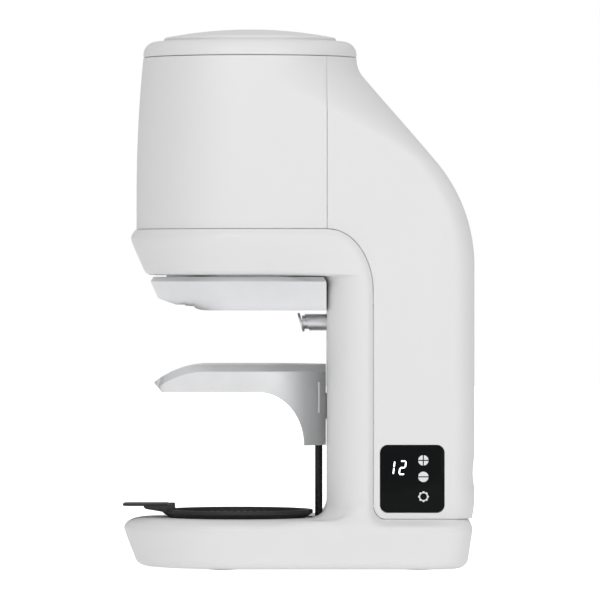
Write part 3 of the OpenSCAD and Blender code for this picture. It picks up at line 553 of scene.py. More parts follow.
@dataclass
class BodyShape:
    """The lines that the white shells share.

    Attributes:
        cap_z: Level of the seam under the cap.
        head_z: Level of the seam on top of the chin.
        head_r: Half-width of the head at its foot.
        head_r_top: Radius of the head under the cap.
        back_y: Back of the rear cover.
        slope_a: Slope of the head's back from the vertical, in degrees.
        slope_r: Radius where the slope runs into the back.
        slope_top_r: Radius where the slope leaves the head.
        corner_r: Corner radius of the back edges.
        column_y: Front face of the column.
        seam_y: The seam between the column and the rear cover.
        seam_drop: Height of the seam's curve under the chin's top.
        seam_foot: Height of the seam's curve above the base.
        seam_stretch: Length of that curve for each unit of its height.
        seam_low_z: Level of the seam on top of the base.
        scoop_z: Level of the finger scoop round the power switch.
        scoop: Depth of the scoop.
        scoop_h: Half of its height.
        hem: How far the cover's foot draws in.
        hem_h: Height over which it does.
    """

    cap_z: float = 279.3
    head_z: float = 184.9
    head_r: float = 62.4
    head_r_top: float = 58.6
    back_y: float = 122.2
    slope_a: float = 39.8
    slope_r: float = 88.0
    slope_top_r: float = 16.0
    corner_r: float = 14.0
    column_y: float = 42.2
    seam_y: float = 67.0
    seam_drop: float = 34.0
    seam_foot: float = 8.0
    seam_stretch: float = 0.8
    seam_low_z: float = 27.8
    scoop_z: float = 52.8
    scoop: float = 0.9
    scoop_h: float = 11.0
    hem: float = 1.3
    hem_h: float = 10.0

    def half_width(self, z: Array) -> Array:
        """Half-width of the head at each level.

        Args:
            z: The levels.

        Returns:
            The half-widths.
        """
        bulge = self.head_z + 13
        t = np.clip((z - bulge) / (self.cap_z - bulge), 0, 1)
        return self.head_r - (self.head_r - self.head_r_top) * t**2.2

    def back(self, z: Array) -> Array:
        """Distance from the tamping axis to the back at each level.

        The back is upright low down, swings forward on a large arc, runs up a straight slope and
        meets the head on a small hollow arc.

        Args:
            z: The levels.

        Returns:
            The distances.
        """
        a = math.radians(self.slope_a)
        slope_z = self.cap_z - 6.3
        low_y = self.back_y - self.slope_r * (1 - math.cos(a))
        low_z = slope_z - (low_y - self.head_r_top) / math.tan(a)
        back_z = low_z - self.slope_r * math.sin(a)
        top_z = slope_z + self.slope_top_r * math.tan(a / 2)
        mid_z = top_z - self.slope_top_r * math.sin(a)
        r1, r2 = self.slope_top_r, self.slope_r
        upper = self.head_r_top + r1 - np.sqrt(np.maximum(r1**2 - (top_z - z) ** 2, 0))
        lower = self.back_y - r2 + np.sqrt(np.maximum(r2**2 - (z - back_z) ** 2, 0))
        line = self.head_r_top + (slope_z - z) * math.tan(a)
        dip = self.scoop * np.cos(math.pi / 2 * np.minimum(1, np.abs(z - self.scoop_z) / self.scoop_h)) ** 2
        dip = dip + self.hem * np.clip(1 - (z - self.seam_low_z) / self.hem_h, 0, 1) ** 1.5
        levels = [z >= top_z, z >= mid_z, z >= low_z, z >= back_z]
        return np.select(levels, [self.head_r_top, upper, line, lower], self.back_y - dip)

    def corner(self, z: Array) -> Array:
        """Radius of the back corners at each level, a full circle under the cap."""
        low = self.cap_z - 60
        return self.corner_r + (self.half_width(z) - self.corner_r) * smooth((z - low) / (self.cap_z - low))

    def seam(self, z: Array) -> Array:
        """Where the rear cover's seam is at each level.

        Args:
            z: The levels.

        Returns:
            The seam's distances behind the tamping axis.
        """
        low = self.head_z - self.seam_drop
        swing = np.sqrt(np.clip(1 - ((z - low) / self.seam_drop) ** 2, 0, 1))
        top_arc = self.column_y + (self.seam_y - self.column_y) * swing
        foot = self.seam_low_z + self.seam_foot
        bend = self.seam_foot - np.sqrt(np.clip(self.seam_foot**2 - (foot - z) ** 2, 0, None))
        foot_arc = self.seam_y + self.seam_stretch * bend
        zones = [z >= self.head_z, z >= low, z >= foot]
        return np.select(zones, [self.column_y, top_arc, self.seam_y], foot_arc)

    def around(self, z: float, dist: Array) -> Array:
        """Points round a level's section, measured from the middle of its front.

        Args:
            z: The level.
            dist: Distances along the +x half of the section.

        Returns:
            One row of x and y for each distance.
        """
        w = float(self.half_width(np.array(z)))
        rc = float(self.corner(np.array(z)))
        yc = float(self.back(np.array(z))) - rc
        q = w * math.pi / 2
        a = dist / w
        b = (dist - q - yc) / rc
        x = np.select(
            [dist <= q, dist <= q + yc, b <= math.pi / 2],
            [w * np.sin(a), np.full_like(dist, w), w - rc + rc * np.cos(b)],
            w - rc - (dist - q - yc - rc * math.pi / 2),
        )
        y = np.select(
            [dist <= q, dist <= q + yc, b <= math.pi / 2],
            [-w * np.cos(a), dist - q, yc + rc * np.sin(b)],
            yc + rc,
        )
        return np.stack([x, y], 1)

    def reach(self, z: float, y: float) -> tuple[float, float]:
        """Measure a level's half section from the middle of its front.

        Args:
            z: The level.
            y: A place along the machine.

        Returns:
            Distance along the section to where it crosses y, and its whole length.
        """
        w, rc = float(self.half_width(np.array(z))), float(self.corner(np.array(z)))
        yc = float(self.back(np.array(z))) - rc
        q = w * math.pi / 2
        to_y = q + (y if y < yc else yc + rc * math.asin(min(1.0, (y - yc) / rc)))
        return to_y, q + yc + rc * math.pi / 2 + w - rc


def rectangle(low: tuple[float, float], high: tuple[float, float]) -> list[tuple[float, float]]:
    """Corners of a rectangle between two opposite ones."""
    return [low, (high[0], low[1]), high, (low[0], high[1])]


def at_level(flat: Array, z: float) -> Array:
    """Add a level to rows of x and y."""
    return np.hstack([flat, np.full((len(flat), 1), z)])


def mirrored(half: Array) -> Array:
    """Join a half line that starts on the middle plane to its mirror image."""
    return np.concatenate([(half * np.array([-1, 1, 1]))[::-1], half[1:]])


def thicken(piece: bpy.types.Object, wall_mm: float, edge_mm: float) -> bpy.types.Object:
    """Give an outer skin its wall, inwards, and round its rims.

    Args:
        piece: The skin.
        wall_mm: Thickness of the wall.
        edge_mm: Width of the rims' rounding.

    Returns:
        The same object.
    """
    solid = piece.modifiers.new("wall", "SOLIDIFY")
    solid.thickness = wall_mm * MM
    solid.offset = -1.0
    solid.use_even_offset = False
    solid.use_quality_normals = True
    apply_modifiers(piece)
    return edge_rounding(piece, edge_mm, 2, 50)


def round_cut(
    name: str, x: float, y: float, radius: float, low: float, high: float, along: str = "z"
) -> bpy.types.Object:
    """A round cutter.

    Args:
        name: Its name.
        x: Place across its axis.
        y: Second place across its axis: y for an axis along z, z for an axis along y.
        radius: Its radius.
        low: Where it starts.
        high: Where it ends.
        along: Direction of its axis.

    Returns:
        The cutter.
    """
    place = (x, y, 0) if along == "z" else (x, 0, y)
    return lathe(name, [(POLE, low), (radius, low), (radius, high), (POLE, high)], WHITE_ABS, place, along, 64)


def box_cut(low: tuple[float, float, float], high: tuple[float, float, float]) -> bpy.types.Object:
    """A box-shaped cutter.

    Args:
        low: Lowest x, y and z.
        high: Highest x, y and z.

    Returns:
        The cutter.
    """
    flat = [(low[0], low[2]), (high[0], low[2]), (high[0], high[2]), (low[0], high[2])]
    return prism("box_cutter", flat, low[1], high[1], WHITE_ABS, "y")


@dataclass
class Covers:
    """The two head covers: the round front one and the sloped rear one.

    Attributes:
        shape: The shells' common lines.
        gap: Width of the seams.
        wall: Thickness of the covers.
        edge: Width of the rounding on their rims.
        rows: Rings in the front cover.
        cols: Points along half of its ring.
        switch_w: Width of the opening for the power switch.
        switch_h: Its height.
        switch_z: Level of its middle.
        inlet_z: Level of the inlet's hole.
        inlet_r: Its radius.
    """

    shape: BodyShape
    gap: float = 0.2
    wall: float = 2.4
    edge: float = 0.2
    rows: int = 110
    cols: int = 72
    switch_w: float = 9.6
    switch_h: float = 14.4
    switch_z: float = 52.8
    inlet_z: float = 39.2
    inlet_r: float = 4.9

    def shell(
        self, name: str, rings: Sequence[Array], openings: Sequence[bpy.types.Object]
    ) -> bpy.types.Object:
        """Make a cover from its outer rings.

        Args:
            name: The cover's name.
            rings: Its levels, from the lowest to the highest.
            openings: Closed pieces that are cut out of it.

        Returns:
            The cover with its wall.
        """
        piece = new_piece(name, np.concatenate(rings), grid_faces(len(rings), len(rings[0])), WHITE_ABS)
        thicken(tidy(piece), self.wall, self.edge)
        return tidy(cut(piece, openings))

    def front(self) -> bpy.types.Object:
        """Build the front cover of the head.

        Returns:
            The cover.
        """
        s = self.shape
        rings = []
        for z in np.linspace(s.head_z + self.gap, s.cap_z - self.gap, self.rows):
            end, _ = s.reach(z, s.column_y - self.gap / 2)
            xy = s.around(z, np.linspace(0, end, self.cols))
            rings.append(mirrored(at_level(xy, z)))
        return ready(self.shell("head_cover_shell", rings, []), "stand", "white_shell", "head_cover")

    def rear(self, pocket: bpy.types.Object) -> bpy.types.Object:
        """Build the rear cover, a narrow gap away from the rim of the C frame.

        Args:
            pocket: The opening for the display's window.

        Returns:
            The cover.
        """
        s = self.shape
        low = s.seam_low_z + self.gap
        levels = np.concatenate([
            low + (s.seam_foot - self.gap) * np.linspace(0, 1, 14) ** 1.5,
            np.linspace(s.seam_low_z + s.seam_foot + 1, s.head_z - s.seam_drop, 30),
            s.head_z - s.seam_drop + s.seam_drop * np.sin(np.radians(np.linspace(4, 88, 34))),
            np.linspace(s.head_z + self.gap, s.cap_z - self.gap, 90),
        ])
        rings = []
        for z in levels:
            z = float(z)
            rim_here = z < s.head_z
            seam = float(s.seam(np.array(z - (0.9 * self.gap if rim_here else 0))))
            start, end = s.reach(z, seam + (self.gap if rim_here else self.gap / 2))
            near = start + s.corner_r * np.linspace(0, 1, 14)
            xy = s.around(z, np.concatenate([near, np.linspace(near[-1], end, 76)[1:]])[::-1])
            rings.append(mirrored(at_level(xy, z)))
        low_y, high_y = s.back_y - 12.2, s.back_y + 7.8
        w, low, high = self.switch_w / 2, self.switch_z - self.switch_h / 2, self.switch_z + self.switch_h / 2
        openings = [
            pocket,
            box_cut((-w, low_y, low), (w, high_y, high)),
            round_cut("inlet_hole", 0, self.inlet_z, self.inlet_r, low_y, high_y, "y"),
        ]
        return ready(self.shell("rear_cover_shell", rings, openings), "stand", "white_shell", "rear_cover")


@dataclass
class CFrame:
    """The C-shaped shell: base, column and chin in one moulding.

    Attributes:
        shape: The shells' common lines.
        base_r: Half-width of the base and radius of its front.
        base_top: Level of the base's top.
        base_wide_z: Level where the base is widest.
        base_edge: Width of the base's rounded top edge.
        base_foot_z: Level of the shell's lower edge.
        base_back: Back of the base.
        chin_r: Half-width of the chin where it is widest.
        chin_z: Level of the chin's underside.
        column_r: Half-width of the column.
        corner_r: Plan radius of the column's front corners.
        base_fillet: Fillet at the foot of the column.
        chin_fillet: Fillet at the head of the column.
        rim: Half-width of the shell along its seam.
        rim_band: Width of the bevelled band along the seam.
        foot_r: Radius of the rounding at the foot of the base.
        foot_lean: Lean of the base's sides, in degrees.
        side_draw: How far the sides draw in below the widest level.
        back_draw: How far the back does.
        foot_back: Draw of the back for each unit of the sides' in the foot's rounding.
        lip_r: Radius of the chin's lower edge.
        cols: Points along half of a ring's front part.
        wall: Thickness of the shell.
        edge: Width of the rounding on its rims.
        neck_r: Radius of the opening for the clamp's neck.
        neck_from: Where that circle is cut off behind, in degrees.
        sensor_z: Level of the sensor's hole.
        sensor_r: Its radius.
        spindle_y: Place of the spindle's hole.
        spindle_r: Its radius.
        mat_y: Middle of the mat's seat.
        mat_r: Its radius.
        mat_depth: Its depth.
        slot: Half-width of the slot for the fork's tongue.
        slot_low: Its foot.
        slot_high: Its top.
    """

    shape: BodyShape
    base_r: float = 69.295
    base_top: float = 27.0
    base_wide_z: float = 21.1
    base_edge: float = 10.0
    base_foot_z: float = 0.5
    base_back: float = 120.9
    chin_r: float = 65.5
    chin_z: float = 160.0
    column_r: float = 65.5
    corner_r: float = 25.0
    base_fillet: float = 9.0
    chin_fillet: float = 5.0
    rim: float = 62.75
    rim_band: float = 4.7
    foot_r: float = 6.5
    foot_lean: float = 17.0
    side_draw: float = 5.9
    back_draw: float = 2.2
    foot_back: float = 1.1
    lip_r: float = 2.5
    cols: int = 96
    wall: float = 2.8
    edge: float = 0.3
    neck_r: float = 46.25
    neck_from: float = 120.0
    sensor_z: float = 134.0
    sensor_r: float = 4.8
    spindle_y: float = 37.8
    spindle_r: float = 2.7
    mat_y: float = -6.7
    mat_r: float = 41.8
    mat_depth: float = 0.8
    slot: float = 7.0
    slot_low: float = 71.5
    slot_high: float = 100.5

    @property
    def t(self) -> Array:
        """Places of a ring's points along its half, from 0 to 1."""
        return np.linspace(0, 1, self.cols)

    @property
    def seam_start(self) -> float:
        """Where the seam's curve above the base runs out into its level stretch."""
        return self.shape.seam_y + self.shape.seam_stretch * self.shape.seam_foot

    def u_line(self, r: Array, y_end: Array, t: Array) -> Array:
        """Points on a half U: a quarter circle and a straight side.

        Args:
            r: Radius of the front.
            y_end: Where the side ends.
            t: Places from the middle of the front, 0, to the end, 1.

        Returns:
            One row of x and y for each place.
        """
        q = r * math.pi / 2
        d = t * (q + y_end)
        front = d <= q
        x = np.where(front, r * np.sin(np.minimum(d / r, math.pi / 2)), r)
        y = np.where(front, -r * np.cos(d / r), d - q)
        return np.stack([x, y], 1)

    def column_line(self, y_end: float, t: Array) -> Array:
        """Points on half of the column's outline, from its front face to the seam.

        Args:
            y_end: Where the outline ends.
            t: Places along it, from 0 to 1.

        Returns:
            One row of x and y for each place.
        """
        flat = self.column_r - self.corner_r
        turn = self.corner_r * math.pi / 2
        side = y_end - self.shape.column_y - self.corner_r
        d = t * (flat + turn + side)
        a = np.clip((d - flat) / self.corner_r, 0, math.pi / 2)
        x = np.where(d <= flat, d, flat + self.corner_r * np.sin(a))
        y = self.shape.column_y + self.corner_r * (1 - np.cos(a)) + np.maximum(d - flat - turn, 0)
        return np.stack([x, y], 1)

    def base_side(self, z: float) -> tuple[float, float]:
        """Half-width and back of the base below its widest level.

        Args:
            z: The level.

        Returns:
            The half-width, and the distance from the tamping axis to the back.
        """
        foot, lean = self.foot_r, math.radians(self.foot_lean)
        middle_z = self.base_foot_z + foot
        straight = middle_z - foot * math.sin(lean)
        t = min(1.0, (self.base_wide_z - z) / (self.base_wide_z - straight))
        r = self.base_r - self.side_draw * t**1.1
        back = self.base_back - self.back_draw * t
        if z < straight:
            drop = foot * math.cos(lean) - math.sqrt(max(foot**2 - (middle_z - z) ** 2, 0))
            r, back = r - drop, back - self.foot_back * drop
        return r, back

    def base_ring(self, r: float, back: float, z: float) -> tuple[Array, Array]:
        """Front and rear part of half a base ring; both hold the point that they share.

        Args:
            r: Half-width of the ring.
            back: Its back.
            z: Its level.

        Returns:
            Both parts, with one row of x, y and z for each point.
        """
        front = self.u_line(r, self.seam_start, self.t)
        rc = self.shape.corner_r
        sides = [(r, self.seam_start + (back - rc - self.seam_start) * k / 10) for k in range(10)]
        corner = arc(r - rc, back - rc, rc, rc, 0, 90, 14)
        rear = np.array(sides + corner + [((r - rc) * (1 - k / 12), back) for k in range(1, 13)])
        return at_level(front, z), at_level(rear, z)

    def seam_distance(self, y: Array, z: Array) -> Array:
        """Distance in the side view from each point to the seam.

        Args:
            y: The points' places along the machine.
            z: Their levels.

        Returns:
            The distances.
        """
        s = self.shape
        line = [(-90.0, s.head_z)]
        line += arc(s.column_y, s.head_z - s.seam_drop, s.seam_y - s.column_y, s.seam_drop, 90, 0, 40)
        run = s.seam_stretch * s.seam_foot
        line += arc(s.seam_y + run, s.seam_low_z + s.seam_foot, run, s.seam_foot, 180, 270, 12)
        line += [(140.0, s.seam_low_z)]
        ends = np.array(line)
        a, b = ends[:-1], ends[1:]
        p = np.stack([y, z], -1)[..., None, :]
        along = np.clip(((p - a) * (b - a)).sum(-1) / ((b - a) ** 2).sum(-1), 0, 1)
        near = a + along[..., None] * (b - a)
        return np.sqrt(((p - near) ** 2).sum(-1)).min(-1)

    def bevelled(self, half: Array) -> Array:
        """Draw a half ring in towards the rim's outline near the seam.

        Args:
            half: One row of x, y and z for each point.

        Returns:
            The drawn ring.
        """
        x, y = half[:, 0], half[:, 1]
        front = y < 0
        out = np.where(front, np.hypot(x, y), np.abs(x))
        u = np.clip(self.seam_distance(y, half[:, 2]) / self.rim_band, 0, 1)
        keep = 1 - (1 - u) ** 1.7
        draw = np.maximum(out - self.rim, 0) * (1 - keep)
        scale = np.where(out > 1e-6, (out - draw) / np.maximum(out, 1e-6), 1)
        result = half.copy()
        result[:, 0] = x * scale
        result[:, 1] = np.where(front, y * scale, y)
        return result

    def base_edge_rings(self, fronts: list[Array], rears: list[Array]) -> tuple[list[Array], list[Array]]:
        """Add the rings from the base's widest level to the foot of the column.

        The front of the base has a rounded edge, a flat top and a fillet up to the column. The
        sides swing up to the column in one S curve, which ends on the cover's seam.

        Args:
            fronts: Front rings so far.
            rears: Rear parts so far.

        Returns:
            Both lists with the new rings.
        """
        s = self.shape
        wide = fronts[-1]
        column = self.column_line(s.seam_y, self.t)
        rise = self.base_top - self.base_wide_z
        rim_rise = s.seam_low_z - self.base_wide_z
        side = smooth((wide[:, 1] - 36) / 24)[:, None]
        end = smooth((self.t - 0.9) / 0.1)[:, None]
        spare = self.base_r - self.column_r - 0.6
        edge = self.base_edge + (spare - self.base_edge) * smooth((wide[:, 1] - 5) / 35)
        top = self.u_line(self.base_r - edge, self.seam_start, self.t)
        way = top - column
        dist = np.maximum(np.hypot(way[:, 0], way[:, 1])[:, None], 1e-6)
        reach = np.minimum(self.base_fillet, 0.8 * dist)
        arcs, flats, bends = 12, 8, 14
        total = arcs + flats + bends
        climb = s.seam_low_z + s.seam_foot - self.base_wide_z
        for k in range(1, total + 1):
            if k <= arcs:
                a = math.radians(90 * k / arcs)
                xy = self.u_line(self.base_r - edge * (1 - math.cos(a)), self.seam_start, self.t)
                z = np.full((len(xy), 1), self.base_wide_z + rise * math.sin(a))
            elif k <= arcs + flats:
                share = smooth((k - arcs) / flats)
                xy = top + (column + way / dist * reach - top) * share
                z = np.full((len(xy), 1), self.base_top)
            else:
                a = math.radians(90 * (k - arcs - flats) / bends)
                xy = column + way / dist * reach * (1 - math.sin(a))
                z = np.full((len(xy), 1), self.base_top + self.base_fillet * (1 - math.cos(a)))
            u = max(0.0, (k - arcs) / (total - arcs))
            turn = math.radians(90 * u)
            low = k / arcs * rim_rise
            up = self.base_wide_z + (low if k <= arcs else rim_rise + s.seam_foot * (1 - math.cos(turn)))
            plain = self.base_wide_z + climb * k / total
            swing_z = plain + (up - plain) * end
            share = smooth((swing_z - self.base_wide_z) / climb)
            swing_y = wide[:, 1:2] + (column[:, 1:] - wide[:, 1:2]) * u
            pinned_y = self.seam_start - s.seam_stretch * s.seam_foot * math.sin(turn)
            swing_y = swing_y + (pinned_y - swing_y[-1]) * end
            base_x = wide[:, :1]
            edge_x = np.where(wide[:, 1:2] < s.column_y + self.corner_r, column[:, :1], self.column_r)
            swing_x = base_x + (edge_x - base_x) * share
            swing = np.hstack([swing_x, swing_y])
            fronts.append(np.hstack([xy + (swing - xy) * side, z + (swing_z - z) * side]))
            if k <= arcs:
                r = float(self.bevelled(fronts[-1])[-1, 0])
                back = self.base_back - 0.3 * (self.base_r - r)
                rears.append(self.base_ring(r, back, self.base_wide_z + low)[1])
        return fronts, rears

    def pinned(self, ring: Array) -> Array:
        """Draw the end of a half ring onto the seam.

        Args:
            ring: One row of x, y and z for each point.

        Returns:
            The drawn ring.
        """
        level = float(ring[-1, 2])
        if level < self.shape.seam_low_z + self.shape.seam_foot:
            return ring
        shift = float(self.shape.seam(np.array(level))) - ring[-1, 1]
        ring = ring.copy()
        ring[:, 1] += shift * smooth((self.t - 0.8) / 0.2)
        return ring

    def rings(self) -> tuple[list[Array], list[Array]]:
        """Half rings from the foot of the base to the top of the chin.

        Returns:
            The rings' front parts, and the base's rear parts.
        """
        s = self.shape
        fronts: list[Array] = []
        rears: list[Array] = []
        levels = [self.base_foot_z + self.foot_r * (1 - math.cos(math.radians(a))) for a in range(0, 74, 9)]
        levels += list(np.linspace(levels[-1], self.base_wide_z, 12)[1:])
        for z in levels:
            r, back = self.base_side(z)
            front, rear = self.base_ring(r, back, z)
            fronts.append(front)
            rears.append(rear)
        fronts, rears = self.base_edge_rings(fronts, rears)
        foot = fronts[-1][:, 2:]
        top = self.chin_z - self.chin_fillet
        for k in np.linspace(0, 1, 16)[1:]:
            z = foot + (top - foot) * k
            end = float(s.seam(np.array(float(z[-1, 0]))))
            fronts.append(np.hstack([self.column_line(end, self.t), z]))
        lip_r = self.lip_r
        inner = self.chin_line(self.chin_z + lip_r, -lip_r)
        column = fronts[-1][:, :2]
        way = inner - column
        dist = np.hypot(way[:, 0], way[:, 1])[:, None]
        reach = np.minimum(self.chin_fillet, 0.8 * dist)
        for a in np.radians(np.arange(10, 91, 10)):
            xy = column + way / np.maximum(dist, 1e-6) * reach * (1 - math.cos(a))
            fronts.append(at_level(xy, top + self.chin_fillet * math.sin(a)))
        lip = fronts[-1][:, :2]
        for k in (0.12, 0.3, 0.5, 0.7, 0.88, 1.0):
            fronts.append(at_level(lip + (inner - lip) * k, self.chin_z))
        for a in np.radians(np.arange(12, 73, 12)):
            z = self.chin_z + lip_r * (1 - math.cos(a))
            fronts.append(at_level(self.chin_line(z, -lip_r * (1 - math.sin(a))), z))
        for z in np.linspace(self.chin_z + lip_r, s.head_z, 34):
            fronts.append(at_level(self.chin_line(float(z), 0.0), float(z)))
        start = len(levels)
        return fronts[:start] + [self.bevelled(self.pinned(f)) for f in fronts[start:]], rears

    def chin_line(self, z: float, grow: float) -> Array:
        """Half of the chin's outline at a level, flared into the column at its back.

        The chin narrows downwards at an even slope, with a soft knee under its top.

        Args:
            z: The level.
            grow: How far the outline stands outside the chin's own.

        Returns:
            One row of x and y for each point.
        """
        slope, softness = 0.45, 1.3
        knee = self.shape.head_z - 6.0
        r = self.chin_r - slope * math.log1p(math.exp((knee - z) / softness)) * softness + grow
        end = float(self.shape.seam(np.array(z)))
        line = self.u_line(r, end, self.t)
        flare = smooth((line[:, 1] - 8) / (end - 8))
        line[:, 0] += (self.column_r - r) * flare * (line[:, 1] > 0)
        return line

    def openings(self) -> list[bpy.types.Object]:
        """Cutters for the clamp's neck, the sensor, the spindle, the mat's seat and the fork.

        Returns:
            The closed cutters.
        """
        face, behind = self.shape.column_y - 4.2, self.shape.column_y + 9.8
        neck = arc(0, 0, self.neck_r, self.neck_r, self.neck_from, self.neck_from + 300, 90)
        seat = self.base_top - self.mat_depth
        return [
            prism("neck", neck, self.chin_z - 5, self.chin_z + 15, WHITE_ABS),
            round_cut("sensor_hole", 0, self.sensor_z, self.sensor_r, face, behind, "y"),
            round_cut("spindle_hole", 0, self.spindle_y, self.spindle_r, 10, 34),
            round_cut("mat_seat", 0, self.mat_y, self.mat_r, seat, 34),
            box_cut((-self.slot, face, self.slot_low), (self.slot, behind, self.slot_high)),
        ]

    def build(self) -> bpy.types.Object:
        """Build the shell.

        Returns:
            The finished shell.
        """
        fronts, rears = self.rings()
        full = [mirrored(f) for f in fronts]
        cols = len(full[0])
        points = np.concatenate(full)
        faces: list[Sequence[int]] = list(grid_faces(len(full), cols))
        for sign in (1, -1):
            start = len(points)
            points = np.concatenate([points] + [r * np.array([sign, 1, 1]) for r in rears])
            faces += grid_faces(len(rears), len(rears[0]), start=start)
        piece = new_piece("c_frame_shell", points, faces, WHITE_ABS)
        tidy(piece, merge_mm=0.02)
        thicken(piece, self.wall, self.edge)
        cut(piece, self.openings())
        return ready(tidy(piece), "stand", "white_shell", "c_frame")


# ---------------------------------------------------------------------------------------------
# Geometry Nodes
# ---------------------------------------------------------------------------------------------


class Recipe:
    """A Geometry Nodes tree with named inputs, run on a piece and baked into its mesh."""

    def __init__(self, name: str, finish: Finish) -> None:
        """Start a tree.

        Args:
            name: The tree's name.
            finish: Material that its last node sets.
        """
        self.group = bpy.data.node_groups.new(name, "GeometryNodeTree")
        self.group.interface.new_socket("Geometry", in_out="INPUT", socket_type="NodeSocketGeometry")
        self.group.interface.new_socket("Geometry", in_out="OUTPUT", socket_type="NodeSocketGeometry")
        self.tree = Tree(self.group)
        self.finish = finish
        self.values: dict[str, object] = {}
        self.start = self.tree.add("NodeGroupInput")

    def take(self, name: str, kind: str, value: object) -> bpy.types.NodeSocket:
        """Add a named input and return the socket that carries it.

        Args:
            name: The input's name.
            kind: 'Float', 'Int', 'Object' and so on.
            value: What this piece sets it to.

        Returns:
            The socket.
        """
        socket = self.group.interface.new_socket(name, in_out="INPUT", socket_type="NodeSocket" + kind)
        self.values[socket.identifier] = value
        return self.start.outputs[name]

    def bake(self, piece: bpy.types.Object, result: bpy.types.NodeSocket) -> bpy.types.Object:
        """Close the tree, run it on a piece and keep the mesh that it makes.

        Args:
            piece: The object that the tree starts from.
            result: The socket with the finished geometry.

        Returns:
            The same object without a modifier.
        """
        real = self.tree.add("GeometryNodeRealizeInstances", Geometry=result)
        dressed = self.tree.add("GeometryNodeSetMaterial", Geometry=real.outputs[0], Material=self.finish.build())
        self.tree.add("NodeGroupOutput", Geometry=dressed.outputs[0])
        step = piece.modifiers.new("recipe", "NODES")
        step.node_group = self.group
        for key, value in self.values.items():
            step[key] = value
        return apply_modifiers(piece)


def scatter(name: str, points: Array, unit: bpy.types.Object, finish: Finish) -> bpy.types.Object:
    """Put a copy of a small piece at every point by Geometry Nodes.

    Args:
        name: The new piece's name.
        points: One row of x, y and z for each copy, in millimetres.
        unit: The piece that is repeated, drawn at the origin; it is removed afterwards.
        finish: The copies' surface.

    Returns:
        One object with every copy.
    """
    piece = new_piece(name, points, [], finish)
    recipe = Recipe(name + "_recipe", finish)
    source = recipe.tree.add("GeometryNodeObjectInfo", Object=recipe.take("Unit", "Object", unit))
    copies = recipe.tree.add(
        "GeometryNodeInstanceOnPoints",
        Points=recipe.start.outputs["Geometry"],
        Instance=source.outputs["Geometry"],
    )
    recipe.bake(piece, copies.outputs[0])
    bpy.data.objects.remove(unit)
    return piece


def coil(
    name: str,
    radius: float,
    wire: float,
    low: float,
    high: float,
    turns: float,
    finish: Finish,
    sides: int = 6,
) -> bpy.types.Object:
    """Wind a wire or a thread ridge round z by Geometry Nodes.

    Args:
        name: The piece's name.
        radius: Radius of the wire's middle.
        wire: Radius of the wire.
        low: Where the coil starts.
        high: Where it ends.
        turns: Number of turns.
        finish: Its surface.
        sides: Sides of the wire's section.

    Returns:
        The coil, with closed ends.
    """
    piece = new_piece(name, np.zeros((1, 3)), [], finish)
    recipe = Recipe(name + "_recipe", finish)
    size = recipe.take("Radius", "Float", radius * MM)
    path = recipe.tree.add(
        "GeometryNodeCurveSpiral",
        Resolution=36,
        Rotations=recipe.take("Turns", "Float", float(turns)),
        Start_Radius=size,
        End_Radius=size,
        Height=recipe.take("Height", "Float", (high - low) * MM),
    )
    section = recipe.tree.add(
        "GeometryNodeCurvePrimitiveCircle", Resolution=sides, Radius=recipe.take("Wire", "Float", wire * MM)
    )
    swept = recipe.tree.add("GeometryNodeCurveToMesh", i0=path.outputs[0])
    recipe.group.links.new(section.outputs[0], swept.inputs["Profile Curve"])
    swept.inputs["Fill Caps"].default_value = True
    lifted = recipe.tree.add("GeometryNodeTransform", Geometry=swept.outputs[0], Translation=(0, 0, low * MM))
    recipe.bake(piece, lifted.outputs[0])
    return tidy(piece, 50, 0.001)


